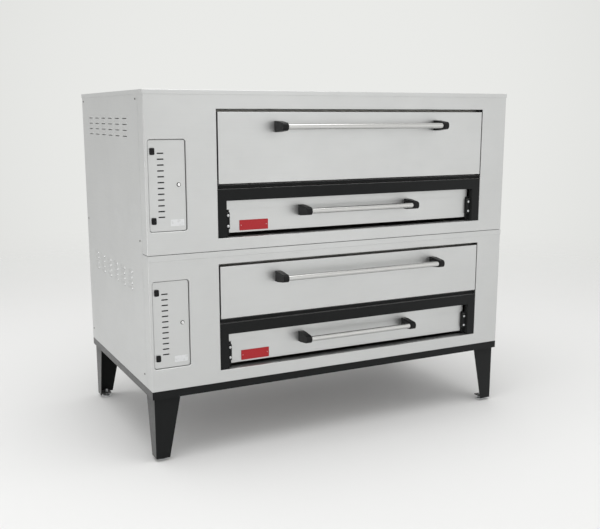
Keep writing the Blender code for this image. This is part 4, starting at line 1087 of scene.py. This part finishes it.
def back_panel(deck):
    """The rear sheet with its flue collar, pipe hole and screws."""
    low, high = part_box(deck.node("back_panel"))
    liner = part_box(deck.node("chamber_liner"))
    y = left_panel[1].y
    mid = deck.middle
    panel = prism(
        deck.node("back_sheet"), rectangle((low.x, low.z), (high.x, high.z)), "Y", y - SHEET, y
    )
    top = liner[1].z - 2 * SHEET
    duct_low = (mid - 0.150, top - 0.080)
    duct_high = (mid + 0.150, top)

    def grown(by):
        return (duct_low[0] - by, duct_low[1] - by), (duct_high[0] + by, duct_high[1] + by)

    flange_plate = prism("flange", rectangle(*grown(0.047), 0.006), "Y", y - SHEET / 2, y + 0.003)
    sleeve = prism("sleeve", rectangle(*grown(0.0043), 0.004), "Y", y - SHEET / 2, high.y)
    join(panel, flange_plate, sleeve)
    gas_x = PIPE_X
    gas_z = deck.rails[0].z - GAP - BURNER_FLOOR_DROP + 0.215
    bore = prism("bore", rectangle(*grown(0.0023), 0.0015), "Y", y - OVERRUN, high.y + OVERRUN)
    hole = rod("hole", (gas_x, y - OVERRUN, gas_z), (gas_x, y + OVERRUN, gas_z), 0.0155)
    cut(panel, bore, hole)
    put(soften(panel, 0.0005), "body", "stainless", deck.node("back_panel"))
    spots = []
    for x in (-0.985, -0.657, -0.328, 0.0, 0.328, 0.657, 0.985):
        spots.append((x, y, low.z + 0.020))
        spots.append((x, y, high.z - (0.030 if deck.name == "upper" else 0.020)))
    for step in (0.33, 0.66):
        for x in (-0.985, 0.985):
            spots.append((x, y, low.z + step * (high.z - low.z)))
    for x in (duct_low[0] - 0.030, mid, duct_high[0] + 0.030):
        for z in (duct_low[1] - 0.030, duct_high[1] + 0.030):
            spots.append((x, y + 0.003, z))
    screws(deck.node("back_screws"), spots, (0, 1, 0), 0.0042, 0.0018, "body")


def top_panels():
    """The sheet between the decks with its front lip, and the folded top cover."""
    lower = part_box("lower_top_panel")
    sheet = block("middle_sheet", (lower[0].x, lower[0].y, lower[1].z - SHEET), lower[1])
    lip = block("lip", lower[0], (lower[1].x, lower[0].y + SHEET, lower[1].z))
    ends = []
    for side in (-1, 1):
        xs = sorted((side * (abs(left_panel[1].x) - SHEET - GAP), side * (lower[1].x + OVERRUN)))
        corner_low = (xs[0], FRONT_RETURN, lower[0].z - OVERRUN)
        corner_high = (xs[1], lower[1].y + 1, lower[1].z + OVERRUN)
        ends.append(block("end", corner_low, corner_high))
    wings = []
    for side in (-1, 1):
        xs = sorted((side * lower[1].x, side * (lower[1].x - SHEET)))
        wings.append(
            block("wing", (xs[0], lower[0].y, lower[0].z), (xs[1], FRONT_RETURN, lower[1].z))
        )
    cut(sheet, *ends)
    join(sheet, lip, *wings)
    round_edges(
        sheet,
        0.0015,
        lambda middle, along: middle.y < lower[0].y + 0.00005 and abs(along.x) > 0.5,
        4,
    )
    put(soften(sheet, 0.0004), "body", "stainless", "lower_top_panel")
    low, high = cover
    top = prism("top_cover", rectangle((low.x, low.y), (high.x, high.y), 0.0025), "Z", low.z, high.z)
    inside = block(
        "inside",
        (low.x + SHEET, low.y + SHEET, low.z - OVERRUN),
        (high.x - SHEET, high.y - SHEET, high.z - SHEET),
    )
    cut(top, inside)
    round_edges(top, 0.0022, lambda middle, along: middle.z > high.z - 0.00005, 4)
    put(soften(top, 0.0004), "body", "stainless", "upper_top_panel")


# ---- Handles -------------------------------------------------------------------------


def handle(deck, prefix, body):
    """A tube with chamfered ends, and two moulded mounts that taper to a round nose."""
    tube_low, tube_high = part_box(deck.node(f"{prefix}_handle_tube"))
    y = (tube_low.y + tube_high.y) / 2
    z = (tube_low.z + tube_high.z) / 2
    radius = (tube_high.z - tube_low.z) / 2
    length = tube_high.x - tube_low.x
    wall = 0.0015
    profile = [
        (radius - wall, 0.0),
        (radius - 0.0005, 0.0),
        (radius, 0.0008),
        (radius, length - 0.0008),
        (radius - 0.0005, length),
        (radius - wall, length),
    ]
    tube = lathe(
        deck.node(f"{prefix}_tube"), profile, (tube_low.x, y, z), (tube_high.x, y, z), 64, True
    )
    put(shade(tube, 30), body, "polished_tube", deck.node(f"{prefix}_handle_tube"))
    for hand, side in SIDES:
        node = deck.node(f"{prefix}_handle_mount_{hand}")
        low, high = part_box(node)
        half = (high.z - low.z) / 2
        nose = 0.0185
        corners = [
            (high.y, z - half, 0.001),
            (high.y, z + half, 0.001),
            (high.y - MOUNT_SHOULDER, z + half, 0.018),
            (low.y, z + nose - 0.0015, nose * 0.88),
            (low.y, z - nose + 0.0015, nose * 0.88),
            (high.y - MOUNT_SHOULDER, z - half, 0.018),
        ]
        mount = prism(deck.node(f"{prefix}_mount_{hand}"), fillet(corners, 8), "X", low.x, high.x)
        inner = low.x if side > 0 else high.x
        socket = rod(
            "socket", (inner - side * OVERRUN, y, z), (inner + side * 0.013, y, z), radius + GAP, 48
        )
        cut(mount, socket)
        put(soften(mount, 0.0022, 4), body, "black_plastic", node)
        collar_profile = [
            (radius + 0.0003, 0.0),
            (radius + 0.0022, 0.0),
            (radius + 0.0026, 0.0008),
            (radius + 0.0020, 0.0020),
            (radius + 0.0003, 0.0022),
        ]
        start = Vector((inner, y, z))
        collar = lathe(
            deck.node(f"{prefix}_collar_{hand}"),
            collar_profile,
            start,
            start + Vector((-side, 0, 0)),
            48,
            True,
        )
        put(shade(collar, 30), body, "black_plastic")


# ---- Base, legs and feet -------------------------------------------------------------


def base_frame():
    """The welded ring of angle, with its corner plates."""
    low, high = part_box("base_frame")
    thick = 0.003
    wide = 0.038
    plate = 0.150
    ring = prism("base_ring", rectangle((low.x, low.y), (high.x, high.y), 0.0015), "Z", low.z, high.z)
    under = block(
        "under",
        (low.x + thick, low.y + thick, low.z - OVERRUN),
        (high.x - thick, high.y - thick, high.z - thick),
    )
    middle = block(
        "middle",
        (low.x + wide, low.y + wide, low.z - OVERRUN),
        (high.x - wide, high.y - wide, high.z + OVERRUN),
    )
    cut(ring, under, middle)
    corners = []
    for x in (low.x, high.x):
        for y in (low.y, high.y):
            inner_x = x + math.copysign(plate, -x)
            inner_y = y + (plate if y == low.y else -plate)
            outer_x = x + math.copysign(thick / 2, -x)
            outer_y = y + (thick / 2 if y == low.y else -thick / 2)
            xs = sorted((inner_x, outer_x))
            ys = sorted((inner_y, outer_y))
            corners.append(block("corner", (xs[0], ys[0], low.z), (xs[1], ys[1], low.z + 0.005)))
    join(ring, *corners)
    put(soften(ring, 0.0008, 3), "body", "black_enamel", "base_frame")


def leg(row, hand):
    """A tapered, folded leg with a top flange, a foot plate and four bolts."""
    node = f"leg_{row}_{hand}"
    low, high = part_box(node)
    side = -1 if hand == "left" else 1
    front = row == "front"
    x = low.x if side < 0 else high.x
    y = low.y if front else high.y
    in_x = -side
    in_y = 1 if front else -1
    thick = 0.005
    wide_x = high.x - low.x
    wide_y = high.y - low.y
    foot_x = 0.068 if front else 0.086
    foot_y = 0.068
    fold = 0.006
    section = fillet(
        [
            (x, y, fold),
            (x + in_x * wide_x, y, 0.0),
            (x + in_x * wide_x, y + in_y * thick, 0.0),
            (x + in_x * thick, y + in_y * thick, 0.0015),
            (x + in_x * thick, y + in_y * wide_y, 0.0),
            (x, y + in_y * wide_y, 0.0),
        ]
    )
    piece = prism(f"{node}_fold", section, "Z", low.z, high.z)
    plates = (("Y", x, in_x, foot_x, wide_x, y, in_y), ("X", y, in_y, foot_y, wide_y, x, in_x))
    for axis, edge, inward, narrow, wide, plane, away in plates:
        wedge = [
            (edge + inward * narrow, low.z - GAP),
            (edge + inward * wide * 1.5, low.z - GAP),
            (edge + inward * wide * 1.5, high.z + GAP),
            (edge + inward * wide, high.z + GAP),
        ]
        skin = away * thick * 1.2
        cut(piece, prism("wedge", wedge, axis, plane - skin, plane + skin))
    pieces = []
    for reach, bottom, top in (
        (0.118, high.z - thick, high.z),
        (foot_y - thick, low.z + thick, low.z + 2 * thick),
    ):
        xs = sorted((x + in_x * thick / 2, x + in_x * reach))
        ys = sorted((y + in_y * thick / 2, y + in_y * reach))
        pieces.append(block("plate", (xs[0], ys[0], bottom), (xs[1], ys[1], top)))
    join(piece, *pieces)
    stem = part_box(f"foot_{row}_{hand}")
    centre = (stem[0] + stem[1]) / 2
    cut(piece, rod("hole", (centre.x, centre.y, 0.0), (centre.x, centre.y, low.z + 0.060), 0.0073))
    put(soften(piece, 0.0008, 3), "body", "black_enamel", node)
    spots = []
    for across in (0.035, 0.092):
        for deep in (0.035, 0.092):
            spots.append((x + in_x * across, y + in_y * deep, high.z - thick))
    screws(f"{node}_bolts", spots, (0, 0, -1), 0.007, 0.005, "body", "gas_pipe")


def foot(row, hand):
    """A levelling foot: domed disc and a ridged stem."""
    node = f"foot_{row}_{hand}"
    low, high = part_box(node)
    centre = (low + high) / 2
    radius = (high.x - low.x) / 2
    profile = [
        (0.0, 0.0),
        (radius - 0.001, 0.0),
        (radius, 0.001),
        (radius, 0.005),
        (radius - 0.0012, 0.0062),
        (radius * 0.62, 0.0095),
        (0.0088, 0.0105),
        (0.0068, 0.0112),
    ]
    pitch = 0.0015
    turns = int((high.z - 0.013) / pitch)
    for turn in range(turns):
        z = 0.0115 + turn * pitch
        profile.append((0.0062, z + 0.25 * pitch))
        profile.append((0.0069, z + 0.75 * pitch))
    profile.append((0.0060, high.z))
    profile.append((0.0, high.z))
    stand = Vector((centre.x, centre.y, 0.0))
    disc = lathe(f"{node}_disc", profile, stand, stand + Vector((0, 0, 1)), 36)
    put(shade(disc, 50), node, "zinc", node)


# ---- Inside --------------------------------------------------------------------------


def hearth(deck):
    """Three stone tiles side by side, with eased edges."""
    low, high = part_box(deck.node("hearth_stone"))
    tiles = []
    width = (high.x - low.x) / 3
    for index in range(3):
        left = low.x + index * width + (0.0006 if index else 0.0)
        right = low.x + (index + 1) * width - (0.0006 if index < 2 else 0.0)
        tiles.append(block(deck.node("tiles"), (left, low.y, low.z), (right, high.y, high.z)))
    put(soften(merged(tiles), 0.0025, 3), "body", "stone", deck.node("hearth_stone"))


def thermostat_bulb(deck):
    """The sensing tube clipped high on the chamber's left wall."""
    low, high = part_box(deck.node("chamber_liner"))
    x = low.x + SHEET + 0.010
    z = high.z - 0.055
    profile = [(0.0, 0.0), (0.003, 0.001), (0.004, 0.004), (0.004, 0.296)]
    profile += [(0.002, 0.302), (0.0015, 0.42), (0.0, 0.421)]
    bulb = lathe(
        deck.node("thermostat_bulb"), profile, (x, low.y + 0.30, z), (x, low.y + 1.0, z), 24
    )
    put(shade(bulb, 40), "body", "chrome")
    clips = []
    for y in (0.34, 0.56):
        centre = Vector((x, low.y + y, z))
        outline = fillet(
            [
                (low.x + SHEET, z - 0.007, 0.0),
                (x + 0.006, z - 0.007, 0.004),
                (x + 0.006, z + 0.007, 0.004),
                (low.x + SHEET, z + 0.007, 0.0),
            ]
        )
        clip = prism("clip", outline, "Y", centre.y - 0.006, centre.y + 0.006)
        bore = rod("bore", centre - Vector((0, 0.02, 0)), centre + Vector((0, 0.02, 0)), 0.0043, 24)
        clips.append(cut(clip, bore))
    held = merged(clips)
    held.name = deck.node("bulb_clips")
    put(soften(held, 0.0004), "body", "zinc")


def gas_train(deck):
    """Pipes with fittings, valve and thermostat bodies, manifold and ported burners."""
    low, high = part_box(deck.node("gas_train"))
    base = deck.opening_low[1] - BURNER_FLOOR_DROP
    inlet = base + 0.215
    dial_z = base + 0.400
    manifold = base + 0.120
    y0 = deck.face
    x = PIPE_X
    valve_y = y0 + 0.115
    header_y = y0 + 0.140
    end = high.y
    train = rod(deck.node("gas_pipes"), (x, valve_y + 0.04, inlet), (x, end - 0.004, inlet), 0.0135)
    parts = [
        rod("nut", (x, end - 0.026, inlet), (x, end, inlet), 0.0205, 6),
        rod("link", (x, valve_y + 0.026, inlet), (x, valve_y + 0.026, dial_z), 0.0105),
        rod("drop", (x, header_y, inlet), (x, header_y, manifold - 0.010), 0.0135),
        rod("header", (x - 0.022, header_y, manifold), (high.x, header_y, manifold), 0.0165),
        rod("collar", (x, header_y, manifold + 0.012), (x, header_y, manifold + 0.034), 0.0185, 8),
        rod("stem", (x, y0 + 0.080, inlet), (x, valve_y + 0.01, inlet), 0.004, 20),
        rod("stem", (x, y0 + 0.080, dial_z), (x, valve_y + 0.01, dial_z), 0.004, 20),
    ]
    for z, wide, tall in ((inlet, 0.068, 0.068), (dial_z, 0.072, 0.084)):
        parts.append(
            prism(
                "housing",
                rectangle((x - wide / 2, z - tall / 2), (x + wide / 2, z + tall / 2), 0.008),
                "Y",
                valve_y,
                valve_y + 0.054,
            )
        )
    join(train, *parts)
    cut(train, rod("socket", (x, end - 0.018, inlet), (x, end + OVERRUN, inlet), 0.0115))
    put(soften(train, 0.0008), "body", "gas_pipe", deck.node("gas_train"))
    tubes = []
    for offset in (-0.54, -0.18, 0.18, 0.54):
        start = Vector((deck.middle + offset, header_y + 0.005, manifold + 0.0023))
        length = 0.785
        profile = [(0.0, 0.0), (0.0165, 0.0), (0.0165, 0.03), (0.012, 0.05), (0.012, 0.06), (0.020, 0.10)]
        profile += [(0.020, length - 0.012), (0.018, length - 0.004), (0.012, length), (0.0, length)]
        tube = lathe(deck.node("burner_tubes"), profile, start, start + Vector((0, 1, 0)), 32)
        ports = []
        for index in range(22):
            y = start.y + 0.12 + index * 0.029
            for lean in (-0.9, 0.9):
                spot = Vector((start.x, y, start.z))
                way = Vector((math.sin(lean), 0, math.cos(lean)))
                ports.append(rod("port", spot + way * 0.015, spot + way * 0.024, 0.0018, 8))
        tubes.append(cut(tube, merged(ports)))
    put(shade(merged(tubes), 40), "body", "gas_pipe")


def knob(node, radius, front, marks):
    """A turned knob with a grip bar, a skirt and raised tick marks."""
    low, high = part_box(node)
    x = (low.x + high.x) / 2
    z = (low.z + high.z) / 2
    skirt = low.y + front
    profile = [
        (0.0, 0.0),
        (radius * 0.80, 0.0),
        (radius * 0.86, 0.0015),
        (radius, 0.006),
        (radius, high.y - skirt - 0.001),
        (radius - 0.001, high.y - skirt),
        (0.0, high.y - skirt),
    ]
    body = lathe(f"{node}_body", profile, (x, skirt, z), (x, high.y, z), 60)
    grip = prism(
        "grip",
        rectangle((x - 0.0045, z - radius + 0.003), (x + 0.0045, z + radius - 0.003), 0.004),
        "Y",
        low.y,
        skirt + 0.004,
    )
    join(body, grip)
    cut(body, rod("bore", (x, low.y + 0.0105, z), (x, high.y + OVERRUN, z), 0.0043, 24))
    put(soften(body, 0.0008, 3), node, "black_plastic", node)
    ticks = []
    for index in range(marks):
        angle = math.radians(-135 + 270 * index / (marks - 1))
        way = Vector((math.sin(angle), 0, math.cos(angle)))
        start = Vector((x, skirt + 0.0022, z)) + way * radius * 0.84
        ticks.append(rod("tick", start, start + way * radius * 0.12, 0.0006, 8))
    put(shade(merged(ticks)), node, "zinc").name = f"{node}_ticks"


def spring(deck):
    """A close-wound compression spring with flattened end coils."""
    node = deck.node("counterbalance_spring")
    low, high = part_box(node)
    wire = 0.002
    radius = (high.x - low.x) / 2 - wire
    centre = (low + high) / 2
    bottom = low.z + wire
    height = high.z - low.z - 2 * wire
    turns = 11
    points = 24
    curve = bpy.data.curves.new(node, "CURVE")
    curve.dimensions = "3D"
    curve.bevel_depth = wire
    curve.bevel_resolution = 3
    curve.use_fill_caps = True
    line = curve.splines.new("POLY")
    line.points.add(turns * points)
    for index, point in enumerate(line.points):
        share = index / (turns * points)
        rise = share - 0.055 * math.sin(2 * math.pi * share)
        angle = 2 * math.pi * turns * share
        point.co = (
            centre.x + radius * math.cos(angle),
            centre.y + radius * math.sin(angle),
            bottom + height * rise,
            1.0,
        )
    source = bpy.data.objects.new("wire", curve)
    bpy.context.scene.collection.objects.link(source)
    bpy.context.view_layer.update()
    seen = source.evaluated_get(bpy.context.evaluated_depsgraph_get())
    mesh = bpy.data.meshes.new_from_object(seen)
    bpy.data.objects.remove(source)
    coil = bpy.data.objects.new(deck.node("coil_spring"), mesh)
    bpy.context.scene.collection.objects.link(coil)
    put(shade(coil, 60), "body", "spring_steel", node)
    rise = 2 * CRANK_REACH
    deck.node("chamber_door_hinge")
    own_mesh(coil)


def spring_rod(deck):
    """The rod with its eye, washer and nut."""
    node = deck.node("spring_rod")
    low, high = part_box(node)
    centre = (low + high) / 2
    eye_radius = 0.010
    eye_z = high.z - eye_radius
    eye_ends = [(centre.x + offset, centre.y, eye_z) for offset in (-0.005, 0.005)]
    eye = rod(deck.node("tie_rod"), *eye_ends, eye_radius)
    stem = rod("stem", (centre.x, centre.y, low.z), (centre.x, centre.y, eye_z), 0.004, 28)
    washer = rod("washer", (centre.x, centre.y, low.z + 0.014), (centre.x, centre.y, low.z + 0.017), 0.016)
    nut = rod("nut", (centre.x, centre.y, low.z + 0.0065), (centre.x, centre.y, low.z + 0.0143), 0.0078, 6)
    join(eye, stem, washer, nut)
    cut(eye, rod("hole", (centre.x - 0.02, centre.y, eye_z), (centre.x + 0.02, centre.y, eye_z), 0.0043, 24))
    put(soften(eye, 0.0005), node, "zinc", node)


def kept_nodes():
    """CAD nodes whose shapes stay, with their finishes."""
    kept = {"floor_pan": "chamber_steel"}
    for deck in decks:
        kept[deck.node("chamber_liner")] = "chamber_steel"
        kept[deck.node("insulation")] = "insulation"
    for node, slot in kept.items():
        frame["nodes"][node].material_slots[0].material = FINISHES[slot]


# ---- Stage, light and camera ---------------------------------------------------------


def stage():
    """A pale floor that fades out into the background."""
    shape = bmesh.new()
    bmesh.ops.create_circle(shape, cap_ends=True, segments=96, radius=FLOOR_RADIUS)
    floor = new_object("floor", shape)
    material = bpy.data.materials.new("floor")
    material.use_nodes = True
    nodes = material.node_tree.nodes
    links = material.node_tree.links
    shader = nodes["Principled BSDF"]
    shader.inputs["Base Color"].default_value = (*FLOOR_COLOUR, 1.0)
    shader.inputs["Roughness"].default_value = 0.75
    spot = nodes.new("ShaderNodeTexCoord")
    length = nodes.new("ShaderNodeVectorMath")
    length.operation = "LENGTH"
    links.new(spot.outputs["Object"], length.inputs[0])
    fade = map_range(nodes, links, length.outputs["Value"], FLOOR_FADE, (1.0, 0.0), True)
    links.new(fade, shader.inputs["Alpha"])
    floor.data.materials.append(material)


def world():
    """A pale background, and softer light with a bright ceiling for everything else."""
    made = bpy.data.worlds.new("studio")
    made.use_nodes = True
    bpy.context.scene.world = made
    nodes = made.node_tree.nodes
    links = made.node_tree.links
    backdrop = nodes["Background"]
    backdrop.inputs["Color"].default_value = (*BACKDROP, 1.0)
    middle = nodes.new("ShaderNodeVectorMath")
    middle.operation = "DOT_PRODUCT"
    middle.inputs[1].default_value = BACKDROP_MIDDLE
    glow = map_range(nodes, links, middle.outputs["Value"], GLOW_REACH, GLOW_STRENGTH, True)
    links.new(glow, backdrop.inputs["Strength"])
    room = nodes.new("ShaderNodeBackground")
    room.inputs["Color"].default_value = (*ROOM_TINT, 1.0)
    spot = nodes.new("ShaderNodeTexCoord")
    split = nodes.new("ShaderNodeSeparateXYZ")
    links.new(spot.outputs["Generated"], split.inputs[0])
    links.new(spot.outputs["Generated"], middle.inputs[0])
    ceiling = map_range(nodes, links, split.outputs["Z"], (-0.1, 0.9), (ROOM_LOW, ROOM_HIGH), True)
    rear = map_range(nodes, links, split.outputs["Y"], (-1.0, 1.0), (ROOM_FRONT, ROOM_REAR))
    both = nodes.new("ShaderNodeMath")
    both.operation = "MULTIPLY"
    links.new(ceiling, both.inputs[0])
    links.new(rear, both.inputs[1])
    links.new(both.outputs[0], room.inputs["Strength"])
    seen = nodes.new("ShaderNodeLightPath")
    choice = nodes.new("ShaderNodeMixShader")
    links.new(seen.outputs["Is Camera Ray"], choice.inputs["Fac"])
    links.new(room.outputs[0], choice.inputs[1])
    links.new(backdrop.outputs[0], choice.inputs[2])
    links.new(choice.outputs[0], nodes["World Output"].inputs["Surface"])


def area_light(name, place_at, aim, size, power):
    light = bpy.data.lights.new(name, "AREA")
    light.shape = "RECTANGLE"
    light.size = size[0]
    light.size_y = size[1]
    light.energy = power
    holder = bpy.data.objects.new(name, light)
    holder.location = place_at
    holder.rotation_mode = "QUATERNION"
    holder.rotation_quaternion = (Vector(aim) - Vector(place_at)).to_track_quat("-Z", "Y")
    bpy.context.scene.collection.objects.link(holder)


def lights():
    area_light("overhead", (-0.4, -0.8, 4.6), (0, 0, 0.6), (4.5, 3.5), 88)
    area_light("low left", (-4.5, 0.6, 0.7), (-1.0, 0.0, 0.2), (3.5, 0.9), 22)
    area_light("front", (2.6, -6.0, 1.2), (0, -0.3, 0.9), (4.5, 3.0), 16)


def camera():
    lens = bpy.data.cameras.new("camera")
    lens.lens = CAMERA_LENS
    lens.sensor_width = 36.0
    lens.shift_y = CAMERA_SHIFT
    holder = bpy.data.objects.new("camera", lens)
    holder.location = CAMERA_PLACE
    holder.rotation_euler = (
        math.radians(90 + CAMERA_PITCH),
        0.0,
        math.radians(-CAMERA_YAW),
    )
    bpy.context.scene.collection.objects.link(holder)
    bpy.context.scene.camera = holder


# ---- The whole oven ------------------------------------------------------------------


camera()
for deck in decks:
    front_panel(deck)
    door_gap_shade(deck)
    back_panel(deck)
    chamber_door(deck)
    door_shaft(deck)
    handle(deck, "door", deck.node("chamber_door"))
    door_frame(deck)
    burner_door(deck)
    badge(deck)
    handle(deck, "burner_door", deck.node("burner_door"))
    control_door(deck)
    latch(deck)
    knob(deck.node("thermostat_dial"), 0.027, 0.008, 11)
    knob(deck.node("gas_valve_knob"), 0.018, 0.010, 3)
    hearth(deck)
    thermostat_bulb(deck)
    gas_train(deck)
    spring_rod(deck)
    spring(deck)
top_panels()
side_panel("left", -1)
side_panel("right", 1)
base_frame()
for row in ("front", "rear"):
    for hand, _ in SIDES:
        leg(row, hand)
        foot(row, hand)
kept_nodes()
stage()
world()
lights()
bpy.context.scene.view_settings.view_transform = "Standard"
